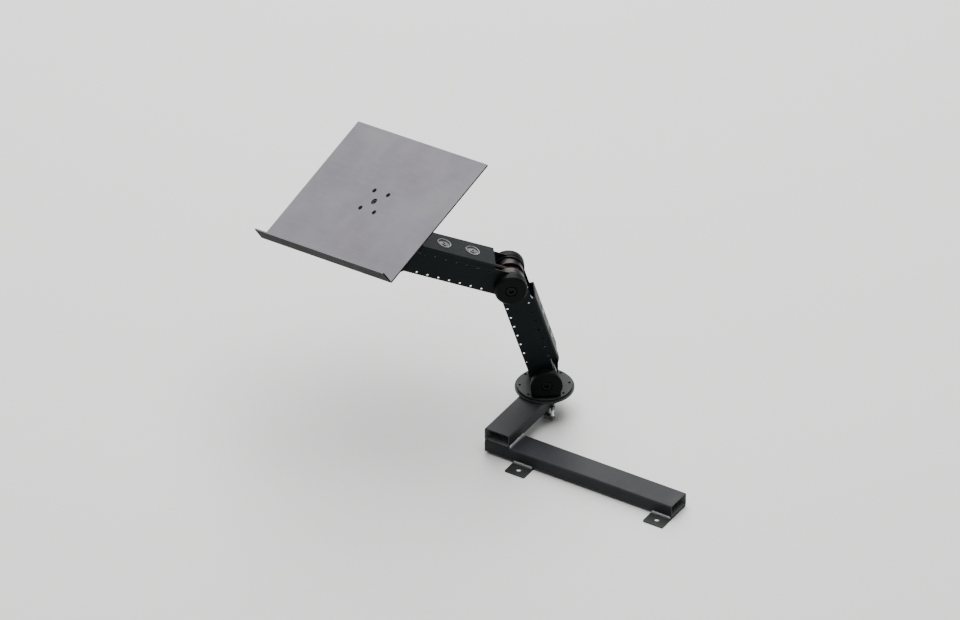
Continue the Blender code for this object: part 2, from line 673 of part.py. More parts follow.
def make_turntable(axis):
    """The turning disc and its liner."""
    ring("turntable_liner", SPINDLE_RADIUS + GAP, 0.040, LINER_LEVEL,
         LINER_LEVEL + LINER_THICKNESS, LINER_BROWN, axis)
    holes = [circle((DISC_HOLE_CIRCLE * math.cos(a), DISC_HOLE_CIRCLE * math.sin(a)),
                    DISC_HOLE_RADIUS, 10)
             for a in (2 * math.pi * i / DISC_HOLES for i in range(DISC_HOLES))]
    loops = [circle((0, 0), TOP_DISC_RADIUS, DISC_STEPS),
             circle((0, 0), SPINDLE_RADIUS + GAP, MEDIUM)]
    plate("turntable_top_plate", loops + holes, DISC_THICKNESS, DISC_GREY, axis,
          (0, 0, TOP_DISC_LEVEL + DISC_THICKNESS / 2))


def make_shoulder(axis):
    """The bracket on the turntable, its screws and the shoulder's pivot."""
    inner = LOWER_HALF_WIDTH + 0.0019
    pivot = axis_empty("shoulder_bracket_axis", axis, (0, 0, SHOULDER_Z))
    bracket = pivot_bracket("shoulder_bracket", inner, EAR_RADIUS, EAR_RADIUS, HUB_BLACK, pivot,
                            foot_holes=[circle((0, 0), SPINDLE_RADIUS + GAP, MEDIUM)])
    floor = -(PIVOT_HEIGHT - GAP) + FOOT_THICKNESS
    drills = []
    for name, x in (("bracket_screw_front", 0.0185), ("bracket_screw_rear", -0.0185)):
        drills.append(guide_mesh(name + "_drill", "rod", (0.0028, 0.0028, 0.01), pivot,
                                 (x, 0, floor)))
        head = floor + GAP
        profile = [(0, head + 0.0022), (0.0030, head + 0.0022), (0.0044, head + 0.0010),
                   (0.0044, head), (0.0025, head), (0.0025, floor - FOOT_THICKNESS + GAP),
                   (0, floor - FOOT_THICKNESS + GAP)]
        turned(name, profile, DARK_FASTENER, pivot, (x, 0, 0), steps=16)
    join_or_cut(bracket, drills, "DIFFERENCE")
    seat = inner + EAR_THICKNESS
    hub_cover("shoulder_cover_near", 1, seat, pivot)
    hub_cover("shoulder_cover_far", -1, seat, pivot)
    pivot_bolt("shoulder_bolt", seat + 0.006, seat + GAP, DARK_FASTENER, pivot)
    hex_nut("shoulder_nut", 0.0095, BORE_RADIUS, 0.0055, DARK_FASTENER, pivot,
            (0, -(seat + GAP + 0.00275), 0), ALONG_Y)
    friction_pair("shoulder", LOWER_HALF_WIDTH, inner, pivot)
    crank_hub("shoulder_crank", LOWER_HALF_WIDTH - SHEET - GAP, CAM_RADIUS, SHOULDER_MID, pivot,
              -LOWER_RISE)


def make_elbow(lower):
    """The elbow's pivot, which stays with the lower link."""
    pivot = axis_empty("elbow_pivot", lower, (LINK, 0, 0))
    friction_pair("elbow", LOWER_HALF_WIDTH, UPPER_HALF_WIDTH - SHEET, pivot)
    hub_cap("elbow_cap_near", 1, pivot)
    hub_cap("elbow_cap_far", -1, pivot)
    seat = UPPER_HALF_WIDTH + GAP + CAP_HEIGHT - COUNTERBORE_DEPTH
    pivot_bolt("elbow_bolt", seat + 0.006, seat + GAP, DARK_FASTENER, pivot)
    hex_nut("elbow_nut", 0.0095, BORE_RADIUS, 0.0055, DARK_FASTENER, pivot,
            (0, -(seat + GAP + 0.00275), 0), ALONG_Y)
    crank_hub("elbow_crank", LOWER_HALF_WIDTH - SHEET - GAP, ELBOW_CAM_RADIUS, ELBOW_MID, pivot,
              LOWER_RISE - UPPER_RISE)


def make_wrist(wrist):
    """The bracket at the wrist, its pivot, and the clevis that lets the head roll."""
    inner = UPPER_HALF_WIDTH + 0.0013
    bracket = pivot_bracket("wrist_bracket", inner, EAR_RADIUS, WRIST_FOOT_BACK, HUB_BLACK,
                            wrist, up=-1)
    outer = inner + EAR_THICKNESS
    sink_bolt_seats(bracket, outer, wrist)
    seat = outer - COUNTERBORE_DEPTH
    pivot_bolt("wrist_bolt", seat + 0.006, seat + GAP, DARK_FASTENER, wrist)
    hex_nut("wrist_nut", 0.0095, BORE_RADIUS, 0.0055, DARK_FASTENER, wrist,
            (0, -(seat + GAP + 0.00275), 0), ALONG_Y)
    friction_pair("wrist", UPPER_HALF_WIDTH, inner, wrist)
    half = UPPER_HALF_WIDTH - SHEET - GAP
    ring("wrist_hub", BORE_RADIUS, CAM_RADIUS, -half, half, ZINC_STEEL, wrist, ALONG_Y)


def make_roll_clevis(wrist):
    """The clevis on the wrist bracket's foot, with its bolt and nut along local X."""
    foot = PIVOT_HEIGHT
    floor = foot + 0.0045
    reach = CLEVIS_GAP + CLEVIS_WALL
    base = plate("roll_clevis", [rounded_rectangle(2 * reach, 2 * CLEVIS_HALF_WIDTH + 0.008,
                                                   0.002, 2)],
                 floor - foot, DISC_GREY, wrist, (ROLL_OFFSET, 0, (foot + floor) / 2))
    outline = arc((0, ROLL_HEIGHT), CLEVIS_HALF_WIDTH, 0, 180, 14)
    outline += [(-CLEVIS_HALF_WIDTH, floor - 0.002), (CLEVIS_HALF_WIDTH, floor - 0.002)]
    bore = circle((0, ROLL_HEIGHT), ROLL_PIN_RADIUS + GAP, 16)
    walls = []
    for side in (-1, 1):
        mesh = outline_mesh("roll_clevis_wall", [outline, bore], CLEVIS_WALL)
        middle = ROLL_OFFSET + side * (CLEVIS_GAP + CLEVIS_WALL / 2)
        walls.append(hide_guide("roll_clevis_wall", mesh, wrist, (middle, 0, 0),
                                (math.pi / 2, 0, math.pi / 2)))
    join_or_cut(base, walls, "UNION")
    head = reach + GAP
    profile = [(0, head + 0.004), (0.0058, head + 0.004), (0.0065, head + 0.0033),
               (0.0065, head), (ROLL_PIN_RADIUS, head), (ROLL_PIN_RADIUS, -head - 0.007),
               (0, -head - 0.007)]
    place = (ROLL_OFFSET, 0, ROLL_HEIGHT)
    turned("roll_bolt", profile, ZINC_STEEL, wrist, place, ALONG_X, steps=16)
    hex_nut("roll_nut", 0.0075, ROLL_PIN_RADIUS + GAP, 0.005, ZINC_STEEL, wrist,
            (ROLL_OFFSET - head - 0.0025, 0, ROLL_HEIGHT), ALONG_X)


def make_tilt_block(roll):
    """The block that rolls in the clevis, and the disc that the tray swivels on."""
    top = 0.015
    half = CLEVIS_GAP - GAP
    radius = CLEVIS_HALF_WIDTH
    outline = arc((0, 0), radius, 180, 360, 14) + [(radius, top), (-radius, top)]
    loops = [outline, circle((0, 0), ROLL_PIN_RADIUS + GAP, 16)]
    block = plate("tilt_block", loops, 2 * half, ZINC_STEEL, roll, (0, 0, 0),
                  (math.pi / 2, 0, math.pi / 2))
    drill = guide_mesh("tilt_block_drill", "rod", (0.0043, 0.0043, 0.012), roll,
                       (0, 0, top), steps=16)
    join_or_cut(block, [drill], "DIFFERENCE")
    ring("swivel_base_plate", 0.0043, SWIVEL_RADIUS, top + GAP, top + GAP + SWIVEL_THICKNESS,
         DISC_GREY, roll)


def make_tray_post(swivel):
    """The spool under the tray: a swivel flange, a neck and the tray's flange."""
    bottom = 0.015 + GAP + SWIVEL_THICKNESS + GAP
    top = TRAY_RISE - TRAY_SHEET - GAP
    seat = top - 0.003
    flange = POST_FLANGE_THICKNESS
    profile = [(0.0062, top), (POST_FLANGE, top), (POST_FLANGE, top - flange),
               (POST_RADIUS, top - flange - 0.002), (POST_RADIUS, bottom + flange + 0.002),
               (SWIVEL_RADIUS, bottom + flange), (SWIVEL_RADIUS, bottom), (0.0043, bottom),
               (0.0043, seat), (0.0062, seat)]
    post = turned("tray_post", profile, DISC_GREY, swivel, steps=FINE, ring=True)
    drills = [guide_mesh("tray_post_drill", "rod", (0.0023, 0.0023, 0.02), swivel,
                         (x, y, top), steps=COARSE) for x, y in tray_holes()]
    join_or_cut(post, drills, "DIFFERENCE")
    head = seat + GAP
    profile = [(0, head + 0.004), (TRAY_BOLT_HEAD - 0.0006, head + 0.004),
               (TRAY_BOLT_HEAD, head + 0.0034), (TRAY_BOLT_HEAD, head),
               (TRAY_BOLT_RADIUS, head), (TRAY_BOLT_RADIUS, 0.0095), (0, 0.0095)]
    bolt = turned("tray_bolt", profile, DARK_FASTENER, swivel, steps=MEDIUM)
    socket = guide_mesh("tray_bolt_socket", "rod", (0.003, 0.003, 0.005), swivel,
                        (0, 0, head + 0.004), steps=6)
    join_or_cut(bolt, [socket], "DIFFERENCE")


def tray_holes():
    """The four screw places round the tray's middle."""
    half = TRAY_HOLE_PITCH / 2
    return [(x, y) for x in (-half, half) for y in (-half, half)]


def make_tray(swivel):
    """The folded tray: a flat sheet with a lip along its front edge, and its screws."""
    middle = TRAY_SHEET / 2
    front = TRAY_DEPTH / 2 - middle
    back = -TRAY_DEPTH / 2
    side = TRAY_WIDTH / 2
    shape = bmesh.new()
    rows = [[(back, 0), (front, 0)], [(front, 0), (front, TRAY_LIP - middle)]]
    for (x0, z0), (x1, z1) in rows:
        corners = [(x0, -side, z0), (x1, -side, z1), (x1, side, z1), (x0, side, z0)]
        shape.faces.new([shape.verts.new(corner) for corner in corners])
    bmesh.ops.remove_doubles(shape, verts=shape.verts, dist=1e-6)
    mesh = bpy.data.meshes.new("tray")
    shape.to_mesh(mesh)
    shape.free()
    tray = add_object("tray", mesh, TRAY_GREY, swivel, (0, 0, TRAY_RISE - middle))
    wall = tray.modifiers.new("wall", "SOLIDIFY")
    wall.thickness = TRAY_SHEET
    wall.offset = 0.0
    wall.use_even_offset = True
    drills = [guide_mesh("tray_bolt_drill", "rod", (0.0063, 0.0063, 0.01), swivel,
                         (0, 0, TRAY_RISE), steps=MEDIUM)]
    head_depth = 0.0022
    slope = (SCREW_HEAD - SCREW_RADIUS) / head_depth
    over = 0.002
    for number, (x, y) in enumerate(tray_holes(), 1):
        sink = guide_mesh(f"tray_sink_{number}", "cone",
                          (SCREW_RADIUS + GAP * 1.3 - slope * over,
                           SCREW_HEAD + GAP * 1.3 + slope * over, head_depth + 2 * over),
                          swivel, (x, y, TRAY_RISE - head_depth / 2), steps=16)
        drill = guide_mesh(f"tray_drill_{number}", "rod", (0.0023, 0.0023, 0.01), swivel,
                           (x, y, TRAY_RISE - 0.004), steps=16)
        drills += [sink, drill]
        profile = [(0, TRAY_RISE), (SCREW_HEAD, TRAY_RISE),
                   (SCREW_RADIUS, TRAY_RISE - head_depth),
                   (SCREW_RADIUS, TRAY_RISE - SCREW_LENGTH), (0, TRAY_RISE - SCREW_LENGTH)]
        screw = turned(f"tray_screw_{number}", profile, DARK_FASTENER, swivel, (x, y, 0),
                       steps=16)
        socket = guide_mesh(f"tray_screw_socket_{number}", "rod", (0.0014, 0.0014, 0.0024),
                            swivel, (x, y, TRAY_RISE), steps=6)
        join_or_cut(screw, [socket], "DIFFERENCE")
    join_or_cut(tray, drills, "DIFFERENCE")


def build():
    """Build the base, then each joint of the arm out to the tray."""
    make_tubes()
    make_straps()
    make_welds()
    make_base_plate()
    make_lock_lever()
    turntable = axis_empty("turntable_axis", None, (CROSS_X, TURNTABLE_Y, 0),
                           (0, 0, ARM_AZIMUTH))
    make_turntable(turntable)
    make_shoulder(turntable)
    shoulder = axis_empty("shoulder_axis", turntable, (0, 0, SHOULDER_Z), (0, -LOWER_RISE, 0))
    damped_link("lower", LOWER_HALF_WIDTH, (TONGUE_RADIUS, ELBOW_TONGUE_RADIUS), SHOULDER_MID,
                shoulder)
    elbow = axis_empty("elbow_axis", shoulder, (LINK, 0, 0), (0, LOWER_RISE - UPPER_RISE, 0))
    make_elbow(shoulder)
    damped_link("upper", UPPER_HALF_WIDTH, (ELBOW_TONGUE_RADIUS, TONGUE_RADIUS), ELBOW_MID,
                elbow)
    wrist = axis_empty("wrist_axis", elbow, (LINK, 0, 0), (0, UPPER_RISE + WRIST_TILT, 0))
    make_wrist(wrist)
    make_roll_clevis(wrist)
    roll = axis_empty("roll_axis", wrist, (ROLL_OFFSET, 0, ROLL_HEIGHT), (TRAY_ROLL, 0, 0))
    make_tilt_block(roll)
    swivel = axis_empty("tray_axis", roll, (0, 0, 0), (0, 0, TRAY_SWIVEL))
    make_tray_post(swivel)
    make_tray(swivel)
    bpy.context.view_layer.update()


build()
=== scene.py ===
import json
import math

import bmesh
import bpy
import numpy as np
from mathutils import Matrix, Vector, noise


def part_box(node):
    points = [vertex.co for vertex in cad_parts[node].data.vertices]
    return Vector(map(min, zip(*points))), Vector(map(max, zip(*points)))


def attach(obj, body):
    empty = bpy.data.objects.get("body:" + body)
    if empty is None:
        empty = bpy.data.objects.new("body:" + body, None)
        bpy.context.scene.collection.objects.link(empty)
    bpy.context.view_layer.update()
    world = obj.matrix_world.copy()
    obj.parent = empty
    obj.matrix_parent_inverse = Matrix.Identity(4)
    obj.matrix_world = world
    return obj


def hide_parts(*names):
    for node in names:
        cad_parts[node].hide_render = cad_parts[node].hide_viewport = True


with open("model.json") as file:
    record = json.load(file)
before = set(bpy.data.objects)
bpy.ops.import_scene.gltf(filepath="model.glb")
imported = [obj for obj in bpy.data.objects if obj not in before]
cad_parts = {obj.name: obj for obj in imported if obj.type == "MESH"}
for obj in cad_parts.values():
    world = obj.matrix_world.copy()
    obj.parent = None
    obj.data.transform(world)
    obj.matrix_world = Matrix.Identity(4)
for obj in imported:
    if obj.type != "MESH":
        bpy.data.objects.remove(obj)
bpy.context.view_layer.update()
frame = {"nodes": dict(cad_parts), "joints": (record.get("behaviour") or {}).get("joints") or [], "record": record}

NODES = frame["nodes"]
JOINTS = {joint["name"]: joint for joint in frame["joints"]}
MOUNTS = {mount["name"]: mount for mount in frame["record"]["mounts"]}
UP = Vector((0, 0, 1))
MM = 0.001

# Camera: parallel-looking view from 31.7 degrees round and 35.3 degrees up
CAMERA_AZIMUTH = math.radians(31.7)
CAMERA_ELEVATION = math.radians(35.26)
CAMERA_TARGET = Vector((-0.1048, 0.0016, 0.2793))
CAMERA_LENS = 600.0
CAMERA_SENSOR = 36.0
VIEW_WIDTH = 1.6656

# How finely round shapes are cut, and how widely edges are rounded
SEGMENTS_LARGE = 128
SEGMENTS = 80
SEGMENTS_SMALL = 48
SEGMENTS_HOLE = 32
SEGMENTS_TINY = 24
FOLD_STEPS = 6
FINE_EDGE = 0.3 * MM
PLATE_EDGE = 0.5 * MM
THICK_EDGE = 1.0 * MM
SHARP_FOLD = math.radians(60)
SHARP_EDGE = math.radians(32)
WELD_DISTANCE = 1e-6
NEARLY_STRAIGHT = math.radians(177)

# Sizes that several pieces share
SHEET = 2.0 * MM
FOLD_RADIUS = 3.5 * MM
PIVOT_BORE = 6.3 * MM
PIVOT_SHANK = 6.0 * MM
NUT_BORE = 6.2 * MM
SEAT_RADIUS = 10.5 * MM
SEAT_DEPTH = 6.6 * MM
SMALL_BORE = 4.3 * MM
TRAY_SCREW_BORE = 2.3 * MM
DAMPER_LEVEL = 14.0 * MM
YOKE_SLOT = 3.3 * MM
YOKE_WALL = 4.8 * MM


# --- frames

def place(origin, x_axis, y_axis):
    """Matrix of a local frame from its origin and its X and Y directions."""
    x = Vector(x_axis).normalized()
    y = Vector(y_axis).normalized()
    matrix = Matrix((x, y, x.cross(y))).transposed().to_4x4()
    matrix.translation = Vector(origin)
    return matrix


def pivot(name):
    """Point on a hinge's axis."""
    return Vector(JOINTS[name]["pos_m"])


def axis(name):
    """Direction of a joint's axis."""
    return Vector(JOINTS[name]["axis"]).normalized()


def local_box(node, matrix):
    """Lowest and highest corners of a CAD node, measured in a local frame."""
    inverse = matrix.inverted()
    points = np.array([inverse @ vertex.co for vertex in NODES[node].data.vertices])
    return Vector(points.min(0)), Vector(points.max(0))


HINGE = axis("shoulder_pitch")
SHOULDER, ELBOW, WRIST = (pivot(name + "_pitch") for name in ("shoulder", "elbow", "wrist"))
TURNTABLE_POINT = pivot("turntable_swivel")
TURNTABLE = place((TURNTABLE_POINT.x, TURNTABLE_POINT.y, 0), HINGE.cross(UP), HINGE)
BRACKET = place(SHOULDER, HINGE.cross(UP), HINGE)
LOWER = place(SHOULDER, ELBOW - SHOULDER, HINGE)
ELBOW_END = place(ELBOW, ELBOW - SHOULDER, HINGE)
UPPER = place(ELBOW, WRIST - ELBOW, HINGE)
HEAD = place(WRIST, axis("head_roll"), HINGE)
SWIVEL_AXIS = axis("tray_swivel")
TILT = place(pivot("head_roll"), axis("head_roll"), SWIVEL_AXIS.cross(axis("head_roll")))
TRAY_FRONT = -Vector(MOUNTS["tray_lip"]["axis"])
TRAY = place(pivot("tray_swivel"), TRAY_FRONT, SWIVEL_AXIS.cross(TRAY_FRONT))
LINK = (ELBOW - SHOULDER).length

IDENTITY = Matrix.Identity(4)
ALONG_Y = Matrix.Rotation(-math.pi / 2, 4, "X")
AGAINST_Y = Matrix.Rotation(math.pi / 2, 4, "X")
ALONG_X = Matrix.Rotation(math.pi / 2, 4, "Y")
SIDE_ON = Matrix.Rotation(math.pi / 2, 4, "X")
END_ON = Matrix(((0, 0, 1, 0), (1, 0, 0, 0), (0, 1, 0, 0), (0, 0, 0, 1)))


def shift(x, y, z):
    """Matrix that moves by x, y and z."""
    return Matrix.Translation((x, y, z))


# --- outlines

def arc(centre, radius, start, end, steps):
    """Points along an arc, angles in degrees."""
    angles = [math.radians(start + (end - start) * i / steps) for i in range(steps + 1)]
    return [(centre[0] + radius * math.cos(a), centre[1] + radius * math.sin(a)) for a in angles]


def circle(centre, radius, steps=SEGMENTS_SMALL):
    """Points round a full circle."""
    return arc(centre, radius, 0, 360, steps)[:-1]


def rounded(points, closed=True, step=15):
    """Outline through corners given as (x, y, radius), with an arc at each corner."""
    result = []
    count = len(points)
    for i, (x, y, radius) in enumerate(points):
        corner = Vector((x, y))
        before = Vector(points[i - 1][:2]) - corner
        after = Vector(points[(i + 1) % count][:2]) - corner
        turn = before.angle(after, math.pi)
        at_end = not closed and i in (0, count - 1)
        if at_end or radius <= 0 or turn > NEARLY_STRAIGHT:
            result.append((x, y))
            continue
        reach = min(radius / math.tan(turn / 2), before.length * 0.49, after.length * 0.49)
        size = reach * math.tan(turn / 2)
        middle = (before.normalized() + after.normalized()).normalized()
        centre = corner + middle * size / math.sin(turn / 2)
        start = corner + before.normalized() * reach - centre
        end = corner + after.normalized() * reach - centre
        steps = max(2, round(math.degrees(math.pi - turn) / step))
        for k in range(steps + 1):
            spoke = start.lerp(end, k / steps).normalized() * size
            result.append(tuple(centre + spoke))
    return result


def softened(points, radius, closed=True):
    """Outline with the same small radius at every corner."""
    return rounded([(x, y, radius) for x, y in points], closed, 30)


def rectangle(width, height, radius, centre=(0, 0)):
    """Rectangle with rounded corners."""
    x, y = width / 2, height / 2
    corners = [(x, y), (-x, y), (-x, -y), (x, -y)]
    return rounded([(centre[0] + a, centre[1] + b, radius) for a, b in corners])


# --- meshes

def filled_mesh(name, loops, thickness=0.0, bevel=0.0):
    """Flat outline with holes in XY, centred on Z = 0, its edges rounded by bevel."""
    curve = bpy.data.curves.new(name, "CURVE")
    curve.dimensions = "2D"
    curve.fill_mode = "BOTH"
    curve.extrude = max(thickness / 2 - bevel, 0.0)
    curve.bevel_depth = bevel
    curve.bevel_resolution = 1
    curve.offset = -bevel
    for points in loops:
        spline = curve.splines.new("POLY")
        spline.points.add(len(points) - 1)
        for target, (x, y) in zip(spline.points, points):
            target.co = (x, y, 0.0, 1.0)
        spline.use_cyclic_u = True
    guide = as_object(name, curve)
    mesh = evaluated_mesh(guide)
    bpy.data.objects.remove(guide)
    bpy.data.curves.remove(curve)
    return cleaned(mesh, thickness > 0)


def cleaned(mesh, closed=True):
    """Weld a mesh's seams and point its faces out."""
    shape = bmesh.new()
    shape.from_mesh(mesh)
    bmesh.ops.remove_doubles(shape, verts=shape.verts, dist=WELD_DISTANCE)
    bmesh.ops.dissolve_degenerate(shape, edges=shape.edges, dist=0.1 * WELD_DISTANCE)
    if closed:
        bmesh.ops.recalc_face_normals(shape, faces=shape.faces)
    shape.to_mesh(mesh)
    shape.free()
    return mesh


def mesh_from(name, shape):
    """Mesh from a bmesh, which is freed, with its faces pointing out."""
    bmesh.ops.recalc_face_normals(shape, faces=shape.faces)
    mesh = bpy.data.meshes.new(name)
    shape.to_mesh(mesh)
    shape.free()
    return mesh


def turned_mesh(name, profile, segments=SEGMENTS, ring=False):
    """Solid of revolution round Z from (radius, height) points; ring closes the profile."""
    shape = bmesh.new()
    rows = []
    for radius, height in profile:
        if radius < 1e-7:
            rows.append([shape.verts.new((0, 0, height))])
            continue
        rows.append([shape.verts.new((x, y, height)) for x, y in circle((0, 0), radius, segments)])
    pairs = list(zip(rows, rows[1:]))
    if ring:
        pairs.append((rows[-1], rows[0]))
    for upper, lower in pairs:
        for i in range(segments):
            k = (i + 1) % segments
            corners = [upper[i % len(upper)], upper[k % len(upper)],
                       lower[k % len(lower)], lower[i % len(lower)]]
            corners = list(dict.fromkeys(corners))
            if len(corners) > 2:
                shape.faces.new(corners)
    return mesh_from(name, shape)


def evaluated_mesh(item):
    """Mesh of an object with its modifiers applied."""
    bpy.context.view_layer.update()
    graph = bpy.context.evaluated_depsgraph_get()
    return bpy.data.meshes.new_from_object(item.evaluated_get(graph), depsgraph=graph)


def as_object(name, data, matrix=IDENTITY):
    """Link a mesh, curve, lamp or camera as an object at a place."""
    item = bpy.data.objects.new(name, data)
    bpy.context.scene.collection.objects.link(item)
    item.matrix_world = matrix
    return item


def combine(mesh, tools, operation):
    """Join or cut a mesh with tool meshes, each given as (mesh, matrix)."""
    item = as_object(mesh.name, mesh)
    helpers = []
    for number, (tool, matrix) in enumerate(tools):
        helper = as_object(f"tool_{number}", tool, matrix)
        helpers.append(helper)
        step = item.modifiers.new(helper.name, "BOOLEAN")
        step.operation = operation
        step.solver = "EXACT"
        step.object = helper
    result = evaluated_mesh(item)
    for helper in helpers + [item]:
        bpy.data.objects.remove(helper)
    return cleaned(result)


def moved(mesh, matrix):
    """Move a mesh's vertices."""
    mesh.transform(matrix)
    return mesh


def drill(radius, length, segments=SEGMENTS_SMALL, mouth=0.0):
    """Cutter rod along Z from 0 down to -length; mouth widens its top into a chamfer."""
    over = 1.0 * MM
    profile = [(0, over), (radius + mouth + over, over), (radius, -mouth), (radius, -length),
               (0, -length)]
    if mouth <= 0:
        profile = [(0, over), (radius, over), (radius, -length), (0, -length)]
    return turned_mesh("drill", profile, segments)


def with_socket(mesh, top, radius, length):
    """Cut a hexagon socket into a screw head whose face is at a height."""
    key = filled_mesh("hex", [circle((0, 0), radius, 6)], length)
    moved(key, shift(0, 0, -length / 2 + 0.2 * MM))
    return combine(mesh, [(key, shift(0, 0, top))], "DIFFERENCE")


def levelled(*parts):
    """Profile from parts, each a height and its (radius, rise, rounding) points in mm."""
    return [(radius * MM, base + rise * MM, soft * MM) for base, points in parts
            for radius, rise, soft in points]


def screw_mesh(bottom, top, head, foot, key, depth, segments=SEGMENTS_SMALL):
    """Turned screw with a hexagon socket: head in points from its top, foot (radius, soft)."""
    shank = [(foot[0], 0, foot[1]), (0, 0, 0)]
    profile = levelled((top, [(0, 0, 0)] + head), (bottom, shank))
    mesh = turned_mesh("screw", rounded(profile, closed=False), segments)
    return with_socket(mesh, top, key, depth)


def ring_mesh(bore, radius, bottom, top, soft=0.0, segments=SEGMENTS):
    """Flat ring round Z with softly rounded edges."""
    corners = [(bore, top), (radius, top), (radius, bottom), (bore, bottom)]
    return turned_mesh("ring", softened(corners, soft), segments, ring=True)


def ring_piece(node, matrix, body, coat, bore=PIVOT_BORE, soft=0.0, segments=SEGMENTS):
    """A ring that stands for a node, round Z of the frame."""
    low, high = local_box(node, matrix)
    mesh = ring_mesh(bore, high.x, low.z, high.z, soft, segments)
    return piece(node, mesh, matrix, body, *coat)


def sheet_mesh(name, flats, bends, thickness, rounding):
    """Folded sheet with rounded edges from its middle surface: flat meshes joined by bends.

    A flat is (loops, matrix), and a bend is a row of point pairs across the fold.
    """
    shape = bmesh.new()
    for loops, matrix in flats:
        shape.from_mesh(moved(filled_mesh("flat", loops), matrix))
    for rows in bends:
        for (a, b), (c, d) in zip(rows, rows[1:]):
            shape.faces.new([shape.verts.new(point) for point in (a, b, d, c)])
    bmesh.ops.remove_doubles(shape, verts=shape.verts, dist=WELD_DISTANCE)
    item = as_object(name, mesh_from(name, shape))
    wall = item.modifiers.new("wall", "SOLIDIFY")
    wall.thickness = thickness
    wall.offset = 0.0
    wall.use_even_offset = True
    edge = item.modifiers.new("edge", "BEVEL")
    edge.width = rounding
    edge.segments = 2
    edge.limit_method = "ANGLE"
    edge.angle_limit = SHARP_FOLD
    edge.loop_slide = False
    mesh = evaluated_mesh(item)
    bpy.data.objects.remove(item)
    return cleaned(mesh)


def narrow_faces(mesh, width, angle=math.radians(9)):
    """Faces that round an edge: narrow, and turned against a face on their long side."""
    shape = bmesh.new()
    shape.from_mesh(mesh)
    found = set()
    for face in shape.faces:
        longest = max(edge.calc_length() for edge in face.edges)
        if face.calc_area() > width * longest:
            continue
        for edge in face.edges:
            if edge.calc_length() > 0.5 * longest and len(edge.link_faces) == 2:
                if edge.calc_face_angle(0.0) > angle:
                    found.add(face.index)
    shape.free()
    return found


def piece(node, mesh, matrix, body, slot, finish, edge=None, edge_width=1.0 * MM):
    """A finished piece: placed, shaded, painted, riding on its body and shown for its node."""
    name = node + "_fine"
    item = as_object(name, mesh, matrix)
    mesh.materials.clear()
    mesh.materials.append(finish)
    if edge:
        mesh.materials.append(edge)
        for index in narrow_faces(mesh, edge_width):
            mesh.polygons[index].material_index = 1
    mesh.shade_smooth()
    mesh.set_sharp_from_angle(angle=SHARP_EDGE)
    weighted = item.modifiers.new("flat_faces", "WEIGHTED_NORMAL")
    weighted.keep_sharp = True
    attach(item, body)
    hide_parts(node)
    return item


def repaint(item, finish, chosen):
    """Give another finish to the faces that a test picks."""
    item.data.materials.append(finish)
    index = len(item.data.materials) - 1
    for face in item.data.polygons:
        if chosen(face):
            face.material_index = index


# --- materials

